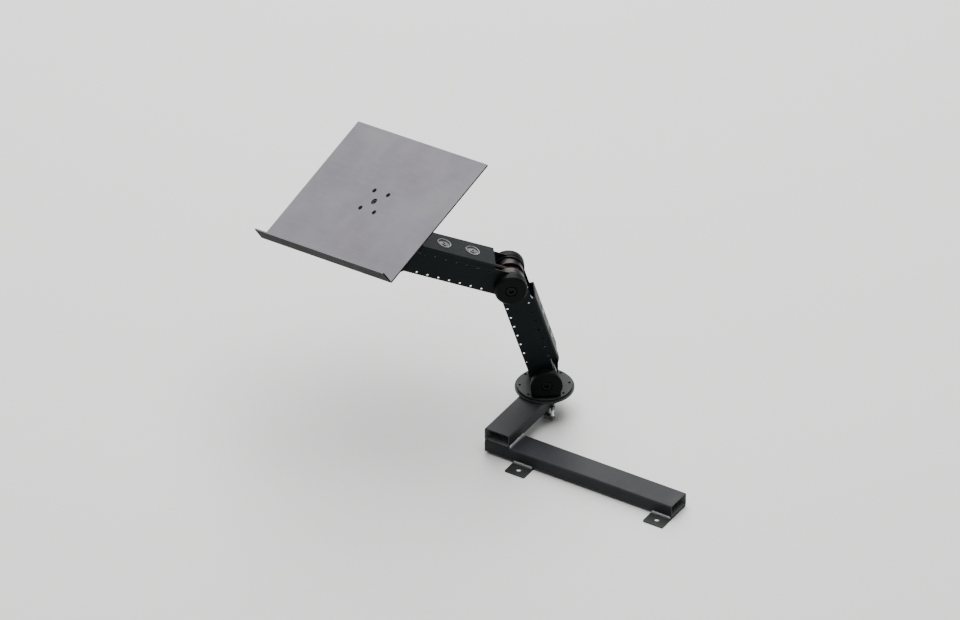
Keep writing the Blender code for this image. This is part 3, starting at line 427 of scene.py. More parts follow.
class Look:
    """A Principled material in the making; base is its colour so far."""

    def __init__(self, name):
        self.material = bpy.data.materials.new(name)
        self.material.use_nodes = True
        self.tree = self.material.node_tree
        self.shader = self.tree.nodes["Principled BSDF"]
        self.plain = None
        self.base = None

    def add(self, kind, values, **settings):
        """Add a shader node and fill its inputs with values or links."""
        item = self.tree.nodes.new("ShaderNode" + kind)
        for key, value in settings.items():
            setattr(item, key, value)
        for key, value in values.items():
            if isinstance(value, bpy.types.NodeSocket):
                self.tree.links.new(value, item.inputs[key])
            else:
                item.inputs[key].default_value = value
        return item

    def point(self, stretch=(1, 1, 1), turn=(0, 0, 0)):
        """Object coordinates, in metres, stretched and turned."""
        source = self.add("TexCoord", {}).outputs["Object"]
        values = {"Vector": source, "Scale": stretch, "Rotation": turn}
        return self.add("Mapping", values).outputs["Vector"]

    def noise(self, scale, detail=2.0, roughness=0.5, distortion=0.0, point=None):
        """Noise, mostly between 0.2 and 0.8."""
        self.plain = self.plain or self.point()
        values = {"Vector": point or self.plain, "Scale": scale, "Detail": detail,
                  "Roughness": roughness, "Distortion": distortion}
        return self.add("TexNoise", values).outputs["Fac"]

    def rings(self, pitch):
        """Noise in rings round local Z, as a lathe leaves."""
        source = self.add("TexCoord", {}).outputs["Object"]
        flat = self.add("VectorMath", {0: source, 1: (1, 1, 0)}, operation="MULTIPLY")
        radius = self.add("VectorMath", {0: flat.outputs[0]}, operation="LENGTH")
        values = {"W": radius.outputs["Value"], "Scale": 1.0 / pitch, "Detail": 2.0}
        return self.add("TexNoise", values, noise_dimensions="1D").outputs["Fac"]

    def remap(self, value, low, high, to_low=0.0, to_high=1.0):
        """Map a range of values to another, clamped."""
        values = {"Value": value, "From Min": low, "From Max": high, "To Min": to_low,
                  "To Max": to_high}
        return self.add("MapRange", values).outputs["Result"]

    def calculate(self, operation, first, second):
        """One arithmetic step."""
        return self.add("Math", {0: first, 1: second}, operation=operation).outputs[0]

    def mix(self, factor, first, second):
        """Mix two colours, or links to colours."""
        first, second = (value if isinstance(value, bpy.types.NodeSocket) else (*value, 1.0)
                         for value in (first, second))
        return self.add("Mix", {0: factor, 6: first, 7: second}, data_type="RGBA").outputs[2]

    def layer(self, value, low, high, top, most=1.0):
        """Lay a colour over the base where a value rises from low to high."""
        self.base = self.mix(self.remap(value, low, high, 0.0, most), self.base, top)

    def scratch(self, top, strength, scale=26.0, amount=0.74):
        """Lay fine long scratches in two directions over the base, in patches."""
        masks = []
        for turn in ((0.3, 0.2, 0.5), (1.1, 0.7, -0.6)):
            line = self.noise(scale, 1.0, point=self.point((1.0, 34.0, 34.0), turn))
            masks.append(self.remap(line, amount, amount + 0.03))
        gate = self.remap(self.noise(19.0), 0.52, 0.66)
        marks = self.calculate("MULTIPLY", self.calculate("MAXIMUM", *masks), gate)
        self.base = self.mix(self.calculate("MULTIPLY", marks, strength), self.base, top)

    def finished(self, gloss, height, distance):
        """Link the colour, a roughness and a bump height, in metres, into the shader."""
        values = {"Height": height, "Distance": distance, "Strength": 1.0}
        normal = self.add("Bump", values).outputs["Normal"]
        for name, value in (("Base Color", self.base), ("Roughness", gloss), ("Normal", normal)):
            self.tree.links.new(value, self.shader.inputs[name])
        return self.material


def scaled(colour, factor):
    """A colour made lighter or darker."""
    return tuple(channel * factor for channel in colour)


def powder_coat(name, colour, rough=(0.40, 0.56), sheen=0.35, grain=0.06 * MM, scratch=0.6):
    """Powder coat: orange-peel grain, cloudy colour and fine scratches."""
    look = Look(name)
    cloud = look.remap(look.noise(16.0, 4.0, 0.6), 0.32, 0.68)
    speck = look.noise(1100.0)
    look.base = look.mix(cloud, scaled(colour, 0.84), scaled(colour, 1.18))
    look.layer(speck, 0.56, 0.72, scaled(colour, 1.9), 0.35)
    look.scratch(scaled(colour, 2.6), scratch)
    gloss = look.remap(look.noise(7.0, 3.0, 0.65), 0.3, 0.7, *rough)
    look.shader.inputs["Specular IOR Level"].default_value = sheen
    height = look.calculate("ADD", look.noise(420.0, 3.0), look.calculate("MULTIPLY", speck, 0.4))
    return look.finished(gloss, height, grain)


def bare_metal(name, colour, rough, tint=None, metallic=1.0):
    """Turned or plated metal: lathe rings, cloudy plating and small stains."""
    look = Look(name)
    rings = look.rings(0.35 * MM)
    cloud = look.noise(60.0, 4.0, 0.6)
    look.base = look.mix(look.remap(cloud, 0.35, 0.65), scaled(colour, 0.80),
                         tint or scaled(colour, 1.12))
    look.layer(rings, 0.45, 0.75, scaled(colour, 0.66), 0.4)
    look.layer(look.noise(180.0, 3.0, 0.6), 0.60, 0.74, scaled(colour, 0.5), 0.45)
    gloss = look.remap(look.calculate("ADD", rings, cloud), 0.7, 1.3, *rough)
    look.shader.inputs["Metallic"].default_value = metallic
    return look.finished(gloss, rings, 0.012 * MM)


def satin_tray(name, colour, rough=(0.34, 0.50), scuff=1.5):
    """Satin grey sheet, brushed along the tray's width, with smudges and light scuffs."""
    look = Look(name)
    streak = look.noise(900.0, 3.0, 0.6, point=look.point((1.0, 0.012, 1.0)))
    look.base = look.mix(look.remap(streak, 0.3, 0.7), scaled(colour, 0.93), scaled(colour, 1.07))
    look.layer(look.noise(5.0, 3.0, 0.55), 0.40, 0.64, (colour[0] * 0.97, *colour[1:]), 0.55)
    look.scratch(scaled(colour, scuff), 0.35, 20.0, 0.73)
    smudge = look.noise(13.0, 4.0, 0.6, 0.4)
    gloss = look.calculate("ADD", look.remap(smudge, 0.35, 0.65, *rough),
                           look.remap(streak, 0.3, 0.7, -0.04, 0.04))
    look.shader.inputs["Metallic"].default_value = 0.3
    return look.finished(gloss, streak, 0.01 * MM)


def lining(name, colour):
    """Pressed friction lining: brown with bright and dark flecks."""
    look = Look(name)
    fleck = look.noise(900.0)
    look.base = look.mix(look.remap(fleck, 0.35, 0.5), scaled(colour, 0.5), colour)
    look.layer(fleck, 0.62, 0.68, (0.42, 0.30, 0.13))
    return look.finished(look.remap(look.noise(90.0), 0.3, 0.7, 0.55, 0.8), fleck, 0.08 * MM)


def weld_metal(name, colour):
    """Bare bead: bright, with straw and blue heat tints and dull oxide in the dips."""
    look = Look(name)
    heat = look.noise(55.0, 3.0)
    soot = look.noise(420.0, 4.0, 0.65)
    look.base = look.mix(look.remap(heat, 0.42, 0.60), colour, (0.22, 0.215, 0.20))
    look.layer(heat, 0.60, 0.72, (0.15, 0.18, 0.24), 0.5)
    look.layer(soot, 0.52, 0.72, (0.10, 0.10, 0.10), 0.6)
    look.shader.inputs["Metallic"].default_value = 0.6
    return look.finished(look.remap(soot, 0.3, 0.7, 0.26, 0.52), soot, 0.08 * MM)


# Each finish is a slot of the record with its coat, and the coat on rounded edges
TUBE = ("tube_black", powder_coat("tube_coat", (0.0170, 0.0180, 0.0210), sheen=0.11),
        powder_coat("tube_edge", (0.025, 0.026, 0.029), sheen=0.15))
# Light grey for the tubes' inner walls: painted light, much paler than the outer coat so the insides look lit.
TUBE_BORE_PAINTED_LIGHT = powder_coat("tube_bore_painted_light", (0.13, 0.135, 0.135), rough=(0.5, 0.66), sheen=0.2)
STRAP = ("strap_steel", powder_coat("strap_coat", (0.017, 0.019, 0.018), sheen=0.18),
         powder_coat("strap_edge", (0.034, 0.037, 0.034), sheen=0.25))
CHANNEL = ("sheet_black",
           powder_coat("sheet_coat", (0.0052, 0.0080, 0.0092), rough=(0.38, 0.52), sheen=0.08),
           powder_coat("sheet_edge", (0.010, 0.012, 0.013), sheen=0.14))
HUB = ("hub_black",
       powder_coat("hub_coat", (0.0026, 0.0030, 0.0034), rough=(0.42, 0.58), sheen=0.07,
                   grain=0.04 * MM),
       powder_coat("hub_edge", (0.0036, 0.0042, 0.0046), rough=(0.38, 0.52), sheen=0.1))
DISC = ("disc_grey", powder_coat("disc_coat", (0.019, 0.022, 0.021), sheen=0.12),
        powder_coat("disc_edge", (0.032, 0.036, 0.034), sheen=0.16))
WELD = ("weld_metal", weld_metal("weld_bead_metal", (0.20, 0.205, 0.21)))
ZINC = ("zinc_steel", bare_metal("zinc_plate", (0.44, 0.45, 0.45), rough=(0.30, 0.46),
                                 tint=(0.52, 0.52, 0.50)))
DULL_ZINC = ("zinc_steel", bare_metal("dull_zinc", (0.105, 0.110, 0.105), rough=(0.44, 0.58),
                                      tint=(0.140, 0.145, 0.140), metallic=0.5))
POLISHED = bare_metal("polished_grip", (0.86, 0.87, 0.87), rough=(0.20, 0.34))
BRIGHT = ("bright_steel", bare_metal("bright_turned_steel", (0.185, 0.190, 0.195),
                                     rough=(0.48, 0.62), tint=(0.235, 0.240, 0.245)))
BARREL = ("bright_steel", bare_metal("satin_barrel", (0.72, 0.73, 0.74), rough=(0.42, 0.56),
                                     metallic=0.35))
PHOSPHATED = ("phosphated_steel", bare_metal("phosphated_steel", (0.026, 0.023, 0.023),
                                             rough=(0.40, 0.56), tint=(0.052, 0.042, 0.041)))
BLACK_OXIDE = ("dark_fastener", powder_coat("black_oxide", (0.0040, 0.0044, 0.0048),
                                            rough=(0.40, 0.54), sheen=0.10, grain=0.02 * MM,
                                            scratch=0.3))
GREY_OXIDE = ("dark_fastener", powder_coat("grey_oxide", (0.040, 0.040, 0.042), sheen=0.15,
                                           grain=0.02 * MM))
LINING = ("friction_liner", lining("friction_lining", (0.19, 0.115, 0.06)))
TRAY_GREY = ("tray_grey", satin_tray("tray_satin", (0.228, 0.216, 0.238)),
             satin_tray("tray_edge", (0.15, 0.15, 0.155), rough=(0.30, 0.42), scuff=1.7))
# Dark grey for the tray's lip front, underside and side edges: painted shade where these faces turn away from the
# lamps.
TRAY_PAINTED_SHADE = powder_coat("tray_painted_shade", (0.0085, 0.0105, 0.0098), rough=(0.44, 0.58),
                         sheen=0.05)


# --- base

def tube_piece(node, along, across, wall=2.0 * MM, corner=3.0 * MM):
    """Rectangular tube along a direction, with the seam ridge that rolled tube has inside."""
    low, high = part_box(node)
    middle = (low + high) / 2
    matrix = place(middle, across, UP)
    length = abs((high - low).dot(along))
    width = abs((high - low).dot(across))
    height = (high - low).z
    outer = rectangle(width, height, corner)
    inner = rectangle(width - 2 * wall, height - 2 * wall, corner - wall / 2)
    floor = -height / 2 + wall
    ridge = [(x, floor + rise) for x, rise in ((-1.1 * MM, 0), (-0.5 * MM, 0.45 * MM),
                                               (0.5 * MM, 0.45 * MM), (1.1 * MM, 0))]
    lowest = [i for i in range(len(inner)) if inner[i - 1][0] < 0 < inner[i][0]
              and inner[i][1] < 0]
    inner = inner[:lowest[0]] + ridge + inner[lowest[0]:]
    return filled_mesh(node, [outer, inner], length, FINE_EDGE), matrix


def paint_light_in_bore(item, wall=2.0 * MM):
    """Light grey on the inner walls of a tube: painted light, so the insides look lit."""
    reach = [max(abs(v.co[i]) for v in item.data.vertices) - wall + 0.2 * MM for i in (0, 1)]
    repaint(item, TUBE_BORE_PAINTED_LIGHT, lambda face: abs(face.normal.z) < 0.5
            and abs(face.center.x) < reach[0] and abs(face.center.y) < reach[1])


def make_tubes():
    """The lower tube and the cross tube, with the spindle's hole through the cross tube."""
    mesh, matrix = tube_piece("lower_tube", Vector((1, 0, 0)), Vector((0, 1, 0)))
    paint_light_in_bore(piece("lower_tube", mesh, matrix, "base", *TUBE))
    mesh, matrix = tube_piece("cross_tube", Vector((0, 1, 0)), Vector((-1, 0, 0)))
    spindle = matrix.inverted() @ shift(TURNTABLE_POINT.x, TURNTABLE_POINT.y, 0.06)
    mesh = combine(mesh, [(drill(PIVOT_BORE, 50 * MM), spindle)], "DIFFERENCE")
    paint_light_in_bore(piece("cross_tube", mesh, matrix, "base", *TUBE))


def make_straps():
    """The two foot straps, with softly rounded edges and a bolt hole in the front tab."""
    tube_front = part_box("lower_tube")[0].y
    for node in ("foot_strap_left", "foot_strap_right"):
        low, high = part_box(node)
        size = high - low
        middle = (low + high) / 2
        hole = (low.y + tube_front) / 2 - middle.y
        loops = [rectangle(size.x, size.y, 2.0 * MM), circle((0, hole), 4.5 * MM)]
        piece(node, filled_mesh(node, loops, size.z, PLATE_EDGE), shift(*middle), "base", *STRAP)


def bead_mesh(name, length, leg, seed):
    """Fillet weld along X in the corner between +Y and +Z: ripples like a row of coins."""
    stations = 96
    spokes = 10
    pitch = 2.1 * MM
    shape = bmesh.new()
    rows = []
    for i in range(stations + 1):
        along = i / stations
        x = (along - 0.5) * length
        taper = min(1.0, 0.72 + 5.0 * min(along, 1 - along))
        row = []
        for k in range(spokes + 1):
            angle = math.pi / 2 * k / spokes
            lag = 0.55 * pitch * math.sin(2 * angle)
            ripple = abs(math.sin(math.pi * (x + lag) / pitch))
            lumpy = noise.noise(Vector((x * 260, angle * 2, seed)))
            radius = leg * taper * (0.90 + 0.09 * ripple + 0.07 * lumpy)
            row.append(shape.verts.new((x, radius * math.cos(angle), radius * math.sin(angle))))
        root = -0.25 * MM
        back = leg * taper * 0.9
        row += [shape.verts.new((x, y, z)) for y, z in ((root, back), (root, root), (back, root))]
        rows.append(row)
    for first, second in zip(rows, rows[1:]):
        for k in range(len(first)):
            n = (k + 1) % len(first)
            shape.faces.new((first[k], first[n], second[n], second[k]))
    shape.faces.new(rows[0])
    shape.faces.new(rows[-1])
    return mesh_from(name, shape)


def make_welds():
    """Rippled beads where the tubes meet each other and the straps."""
    for seed, node in enumerate(n for n in sorted(NODES) if n.startswith("weld_")):
        low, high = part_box(node)
        if node == "weld_cross":
            corner = Vector((low.x, (low.y + high.y) / 2, low.z))
            matrix = place(corner, (0, -1, 0), (1, 0, 0))
            length = high.y - low.y
            leg = high.x - low.x
        else:
            corner = Vector(((low.x + high.x) / 2, high.y, low.z))
            matrix = place(corner, (-1, 0, 0), (0, -1, 0))
            length = high.x - low.x
            leg = high.y - low.y
        piece(node, bead_mesh(node, length, leg * 1.05, seed * 7.3), matrix, "base", *WELD)


def make_turntable():
    """The fixed disc, the turning disc with its ring of holes, and the liner between."""
    ring = circle((0, 0), 43.5 * MM, 8)
    for node, body, places in (("turntable_base_plate", "base", []),
                               ("turntable_top_plate", "turntable", ring)):
        low, high = local_box(node, TURNTABLE)
        loops = [circle((0, 0), (high.x - low.x) / 2, SEGMENTS_LARGE), circle((0, 0), PIVOT_BORE)]
        loops += [circle(place, 2.4 * MM, SEGMENTS_HOLE) for place in places]
        mesh = filled_mesh("disc", loops, high.z - low.z, PLATE_EDGE)
        piece(node, mesh, TURNTABLE @ shift(0, 0, (high.z + low.z) / 2), body, *DISC)
    ring_piece("turntable_liner", TURNTABLE, "turntable", LINING, segments=SEGMENTS_LARGE)


def nut_mesh(corner, bore, thickness):
    """Hex nut along Z, its six corners chamfered at both faces, with a chamfered bore."""
    flats = corner * math.cos(math.pi / 6)
    half = thickness / 2
    mouth = 0.5 * MM
    rim = flats - 0.05 * MM
    upper = [(bore, half - mouth), (bore + mouth, half), (rim, half), (corner, half)]
    lower = [(radius, -height) for radius, height in reversed(upper)]
    mesh = turned_mesh("nut", upper + lower, 96, ring=True)
    for vertex in mesh.vertices:
        radius = math.hypot(vertex.co.x, vertex.co.y)
        if radius > flats:
            angle = math.atan2(vertex.co.y, vertex.co.x) % math.radians(60)
            reach = flats / math.cos(angle - math.radians(30))
            vertex.co.x *= reach / radius
            vertex.co.y *= reach / radius
            drop = 0.05 * MM + 0.6 * (reach - flats)
            vertex.co.z = math.copysign(half - drop, vertex.co.z)
    return mesh


def make_spindle():
    """The turntable's spindle with its hex head, and the nut below the lever."""
    low, high = local_box("turntable_spindle", TURNTABLE)
    seat = high.z - 4.0 * MM
    head = 9.0 * MM
    chamfer = 0.8 * MM
    pitch = 1.25 * MM
    turns = 10
    thread = []
    for i in range(turns, 0, -1):
        level = low.z + chamfer + pitch * i
        thread += [(PIVOT_SHANK, level), (PIVOT_SHANK - 0.5 * MM, level - pitch / 2)]
    profile = [(0, high.z), (head - chamfer, high.z), (head, high.z - chamfer), (head, seat),
               (PIVOT_SHANK, seat)] + thread + [(PIVOT_SHANK - 0.6 * MM, low.z), (0, low.z)]
    mesh = turned_mesh("spindle", profile, SEGMENTS_SMALL)
    mesh = with_socket(mesh, high.z, 4.6 * MM, 2.5 * MM)
    piece("turntable_spindle", mesh, TURNTABLE, "base", *ZINC)
    low, high = local_box("spindle_nut", TURNTABLE)
    mesh = nut_mesh(10.5 * MM, NUT_BORE, high.z - low.z)
    centre = shift(TURNTABLE_POINT.x, TURNTABLE_POINT.y, (high.z + low.z) / 2)
    piece("spindle_nut", mesh, centre, "base", *ZINC)


def make_lever():
    """The lock lever: a boss, a bent arm, a filleted foot block, a turned grip and a head."""
    matrix = shift(TURNTABLE_POINT.x, TURNTABLE_POINT.y, 0)
    low, high = local_box("lock_lever", matrix)
    reach, front = high.x, low.y
    back = front + 9.0 * MM
    start = reach - 18.2 * MM
    middle = (front + back) / 2
    gap = 0.3 * MM
    inset = 0.1 * MM
    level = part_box("spindle_nut")[1].z + gap
    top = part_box("cross_tube")[0].z - gap
    arm_top = level + 3.5 * MM
    head_bottom = high.z - 8.0 * MM
    boss = rounded([(PIVOT_BORE, top, 0.4 * MM), (10 * MM, top, MM), (10 * MM, level, MM),
                    (PIVOT_BORE, level, 0.4 * MM)], step=30)
    mesh = turned_mesh("lever", boss, SEGMENTS, ring=True)
    outline = [(x, y, 0) for x, y in arc((0, 0), 8.6 * MM, 15, -95, 24)]
    outline += [(start, front + inset, 2 * MM), (reach - 2 * inset, front + inset, MM),
                (reach - 2 * inset, back - inset, MM), (start + 4 * MM, back - inset, 3 * MM)]
    arm = filled_mesh("arm", [rounded(outline), circle((0, 0), PIVOT_BORE + inset)],
                      arm_top - level - 2 * inset, PLATE_EDGE)
    foot = filled_mesh("foot", [rectangle(reach - start, back - front, 1.6 * MM)],
                       arm_top - low.z, 0.7 * MM)
    grip_x = reach - 3.2 * MM
    grip = levelled((high.z, [(0, -2, 0), (3.1, -2, 0)]),
                    (head_bottom, [(3.1, -1, 0.4), (2.7, -2, 1)]),
                    (arm_top, [(2.7, 2, 1), (3.15, 0.6, 0.4)]),
                    (low.z, [(3.15, 2, 0), (0, 2, 0)]))
    grip = turned_mesh("grip", rounded(grip, closed=False), SEGMENTS_SMALL)
    head = filled_mesh("head", [rectangle(back - front, high.z - head_bottom, 2.0 * MM)],
                       4.6 * MM, 0.9 * MM)
    parts = [(arm, shift(0, 0, (arm_top + level) / 2)),
             (foot, shift((reach + start) / 2, middle, (arm_top + low.z) / 2)),
             (grip, shift(grip_x, middle, 0)),
             (head, shift(reach - 2.3 * MM, middle, (high.z + head_bottom) / 2) @ END_ON)]
    lever = piece("lock_lever", combine(mesh, parts, "UNION"), matrix, "lever", *DULL_ZINC)
    repaint(lever, POLISHED, lambda face: face.center.x > reach - 8 * MM
            and arm_top + 0.4 * MM < face.center.z < head_bottom - 0.1 * MM)


# --- brackets and fasteners

def bracket_mesh(node, matrix, up, holes=(), sunk=True):
    """U bracket: two thick D ears with rounded edges on a thin foot; sunk cuts bolt seats."""
    low, high = local_box(node, matrix)
    outer = high.y
    ear = 10.9 * MM
    radius = high.x
    inset = 0.4 * MM
    foot_level = low.z if up > 0 else high.z
    foot_thick = 2.5 * MM
    outline = rectangle(high.x - low.x - 2 * inset, 2 * (outer - 2 * MM), 2 * MM,
                        ((high.x + low.x) / 2, 0))
    foot = filled_mesh("foot", [outline] + list(holes), foot_thick, FINE_EDGE)
    moved(foot, shift(0, 0, foot_level + up * foot_thick / 2))
    drop = abs(foot_level)
    outline = arc((0, 0), radius, 0, 180, 56)
    outline += rounded([(-radius, 0, 0), (-radius, -drop + 0.1 * MM, 1.8 * MM),
                        (radius, -drop + 0.1 * MM, 1.8 * MM), (radius, 0, 0)])[1:-1]
    outline = [(x, up * y) for x, y in outline]
    ears = []
    for side, turn in ((1, ALONG_Y), (-1, AGAINST_Y)):
        shape = filled_mesh("ear", [outline, circle((0, 0), PIVOT_BORE)], ear, THICK_EDGE)
        moved(shape, shift(0, side * (outer - ear / 2), 0) @ SIDE_ON)
        if sunk:
            seat = drill(SEAT_RADIUS, SEAT_DEPTH, SEGMENTS, 0.6 * MM)
            shape = combine(shape, [(seat, turn @ shift(0, 0, outer))], "DIFFERENCE")
        ears.append((shape, IDENTITY))
    return combine(foot, ears, "UNION")


def make_shoulder_bracket():
    """The bracket on the turntable, and the two screws through its foot."""
    drills = [circle((0, 0), PIVOT_BORE)]
    places = []
    for node in ("bracket_screw_front", "bracket_screw_rear"):
        low, high = local_box(node, BRACKET)
        places.append((node, (low.x + high.x) / 2, low.z, high.z))
        drills.append(circle(((low.x + high.x) / 2, 0), 2.8 * MM, SEGMENTS_HOLE))
    mesh = bracket_mesh("shoulder_bracket", BRACKET, 1, drills, sunk=False)
    piece("shoulder_bracket", mesh, BRACKET, "turntable", *HUB)
    make_shoulder_covers()
    head = [(3.2, 0, 1.2), (4.4, -1.6, 0.3), (4.4, -2.2, 0.1), (2.5, -2.2, 0)]
    for node, x, bottom, top in places:
        mesh = screw_mesh(bottom, top, head, (2.5, 0.4), 1.7 * MM, 1.5 * MM)
        piece(node, mesh, BRACKET @ shift(x, 0, 0), "turntable", *BLACK_OXIDE)


def make_shoulder_covers():
    """The round covers outside the bracket's ears, flat at their foot."""
    for side in ("near", "far"):
        node = "shoulder_cover_" + side
        low, high = local_box(node, BRACKET)
        radius = high.x
        start = math.degrees(math.asin(-low.z / radius))
        outline = arc((0, 0), radius, -start, 180 + start, 96)
        mesh = filled_mesh(node, [outline, circle((0, 0), SEAT_RADIUS, SEGMENTS)],
                           high.y - low.y, THICK_EDGE)
        piece(node, mesh, BRACKET @ shift(0, (low.y + high.y) / 2, 0) @ SIDE_ON, "turntable",
              *HUB)


def make_pivot(prefix, matrix, body):
    """A hinge's bolt with its socket head, its chamfered hex nut and its two friction discs."""
    low, high = local_box(prefix + "_bolt", matrix)
    head = [(9, 0, 0.9), (9, -6, 0.2), (6, -6, 0.2)]
    mesh = screw_mesh(low.y, high.y, head, (6, 0.8), 5 * MM, 3.6 * MM, SEGMENTS)
    piece(prefix + "_bolt", mesh, matrix @ ALONG_Y, body, *BLACK_OXIDE)
    low, high = local_box(prefix + "_nut", matrix)
    mesh = nut_mesh(9.5 * MM, NUT_BORE, high.y - low.y)
    piece(prefix + "_nut", mesh, matrix @ shift(0, (low.y + high.y) / 2, 0) @ ALONG_Y, body,
          *BLACK_OXIDE)
    for side in ("near", "far"):
        ring_piece(f"{prefix}_friction_{side}", matrix @ ALONG_Y, body, LINING, soft=0.2 * MM)


def make_crank(node, matrix, pin_place, body):
    """The hub inside a hinge: two drums with turned grooves, a sleeve and the crank pin."""
    high = local_box(node, matrix)[1]
    half = high.y
    drum = high.x
    groove = 6.8 * MM
    sleeve = 8.5 * MM
    soft = 0.8 * MM
    upper = [(PIVOT_BORE, half, 0.3 * MM), (drum, half, soft), (drum, groove, soft),
             (sleeve, groove, soft)]
    lower = [(radius, -height, rounding) for radius, height, rounding in reversed(upper)]
    mesh = turned_mesh(node, rounded(upper + lower, step=30), SEGMENTS, ring=True)
    end = groove + 2 * MM
    pin = turned_mesh("pin", [(0, end), (2.5 * MM, end), (2.5 * MM, -end), (0, -end)],
                      SEGMENTS_SMALL)
    mesh = combine(mesh, [(pin, pin_place)], "UNION")
    piece(node, mesh, matrix @ ALONG_Y, body, *PHOSPHATED)


def yoke_centre(node, link):
    """Place along a link of the slot in a damper rod's yoke, at rest."""
    return local_box(node, link)[0].x + YOKE_SLOT + YOKE_WALL


def pin_matrix(crank_frame, link, node):
    """The crank pin's place in its hub's turned frame."""
    world = link @ Vector((yoke_centre(node, link), 0, DAMPER_LEVEL))
    local = (crank_frame @ ALONG_Y).inverted() @ world
    return shift(local.x, local.y, 0)


# --- links

WEB_LEVEL = 34.5 * MM
WEB_END = 40.0 * MM
CHEEK_DROP = 23.5 * MM
CHEEK_END = 19.0 * MM
TONGUE = 21.5 * MM
ELBOW_TONGUE = 28.0 * MM
TONGUE_STEP = 1.5 * MM
WINDOW = 13.5 * MM
WINDOW_PITCH = 52.6 * MM
HOLE_ROW = 19.5 * MM
HOLE_PITCH = 20.0 * MM
HOLE_COUNT = 7
HOLE_RADIUS = 2.0 * MM
HOLE_PHASE = 1.7


def cheek_end(radius, top):
    """One end of a cheek: from the web's edge round the hinge's tongue to the heel."""
    shoulder = radius - TONGUE_STEP
    dip = math.degrees(math.asin(shoulder / radius))
    corner = math.degrees(math.atan2(CHEEK_DROP, CHEEK_END))
    spread = math.degrees(math.acos(radius / math.hypot(CHEEK_DROP, CHEEK_END)))
    tongue = [(x, y, 0) for x, y in arc((0, 0), radius, dip, 360 - corner - spread, 44)]
    return ([(WEB_END, top, 0), (WEB_END, shoulder, 1.5 * MM)] + tongue
            + [(CHEEK_END, -CHEEK_DROP, 3.0 * MM)])


def cheek_outline(tongues, top):
    """Side of a link: web edge along the top, a round tongue on each hinge."""
    near, far = (cheek_end(radius, top) for radius in tongues)
    return rounded(near + [(LINK - x, y, radius) for x, y, radius in reversed(far)])


def channel_mesh(name, half_width, tongues):
    """Folded U channel with bent corners, two rows of small holes and two round windows."""
    fold = FOLD_RADIUS - SHEET / 2
    middle = half_width - SHEET / 2
    level = WEB_LEVEL - SHEET / 2
    top = level - fold
    first = LINK / 2 - HOLE_PITCH * (HOLE_COUNT - 1) / 2
    cheek = [cheek_outline(tongues, top), circle((0, 0), PIVOT_BORE),
             circle((LINK, 0), PIVOT_BORE)]
    cheek += [arc((first + i * HOLE_PITCH, side * HOLE_ROW), HOLE_RADIUS, HOLE_PHASE * i,
                  HOLE_PHASE * i + 360, 28)[:-1] for side in (-1, 1) for i in range(HOLE_COUNT)]
    half = middle - fold
    start, end = WEB_END, LINK - WEB_END
    web = [[(start, -half), (end, -half), (end, half), (start, half)]]
    web += [circle((LINK / 2 + side * WINDOW_PITCH / 2, 0), WINDOW, SEGMENTS)
            for side in (-1, 1)]
    flats = [(cheek, shift(0, side * middle, 0) @ SIDE_ON) for side in (-1, 1)]
    flats.append((web, shift(0, 0, level)))
    bends = [[((start, side * y, z), (end, side * y, z))
              for y, z in arc((half, top), fold, 0, 90, FOLD_STEPS)] for side in (-1, 1)]
    return sheet_mesh(name, flats, bends, SHEET, 0.25 * MM)


def port_cap_mesh(node, link):
    """Bright cap in a window: raised rim, dished face, spanner holes and a centre boss."""
    low, high = local_box(node, link)
    rim = high.z
    face = [(0, -1, 0), (4.2, -1, 0.5), (4.6, -2.8, 0.5), (9.8, -3.1, 1), (11, -0.2, 0.4),
            (12.4, 0, 0.4), (13, -0.8, 0.3)]
    profile = levelled((rim, face), (low.z, [(13, 0, 0.2), (0, 0, 0)]))
    mesh = turned_mesh(node, rounded(profile, closed=False, step=22), SEGMENTS)
    mesh = with_socket(mesh, rim - MM, 2.6 * MM, 2.6 * MM)
    holes = [(drill(1.2 * MM, 1.4 * MM, SEGMENTS_TINY),
              shift(side * 7.3 * MM, 0, rim - 2.9 * MM)) for side in (-1, 1)]
    return combine(mesh, holes, "DIFFERENCE"), (low.x + high.x) / 2


def barrel_mesh(node, link):
    """The damper's barrel: welded end cap, gland nut and a snap ring."""
    low, high = local_box(node, link)
    outside = [(0, 0, 0), (13.5, 0, 1), (13.5, -4, 0.3), (15.5, -6, 0.4)]
    gland = [(15.5, 12, 0.4), (14.2, 11, 0.2), (14.2, 8, 0.2), (13.2, 8, 0.1), (13.2, 7, 0.1),
             (14.2, 7, 0.2), (14.2, 0, 0.8), (5.3, 0, 0.3), (5.3, 8, 0), (12, 8, 0)]
    inside = [(12, -5, 0), (0, -5, 0)]
    profile = levelled((high.x, outside), (low.x, gland), (high.x, inside))
    return turned_mesh(node, rounded(profile, closed=False, step=22), SEGMENTS)


def rod_mesh(node, link, neutral):
    """The damper's rod with its slotted yoke, in the barrel's frame moved to the yoke."""
    end = local_box(node, link)[1].x - neutral
    slot = YOKE_SLOT
    edge = slot + YOKE_WALL
    piston, shank, length = 11.6 * MM, 5 * MM, 12 * MM
    profile = softened([(0, end), (piston, end), (piston, end - length), (shank, end - length),
                        (shank, edge - MM), (0, edge - MM)], 0.5 * MM, closed=False)
    mesh = turned_mesh(node, profile, SEGMENTS)
    foot = 9 * MM - DAMPER_LEVEL
    head = 20 * MM - DAMPER_LEVEL
    fork = rounded([(-edge, foot, MM), (-slot, foot, 0.4 * MM), (-slot, slot, slot * 0.9),
                    (slot, slot, slot * 0.9), (slot, foot, 0.4 * MM), (edge, foot, MM),
                    (edge, head, MM), (-edge, head, MM)], step=20)
    yoke = filled_mesh("yoke", [fork], 12.4 * MM, PLATE_EDGE)
    return combine(mesh, [(yoke, ALONG_X.inverted() @ SIDE_ON)], "UNION")


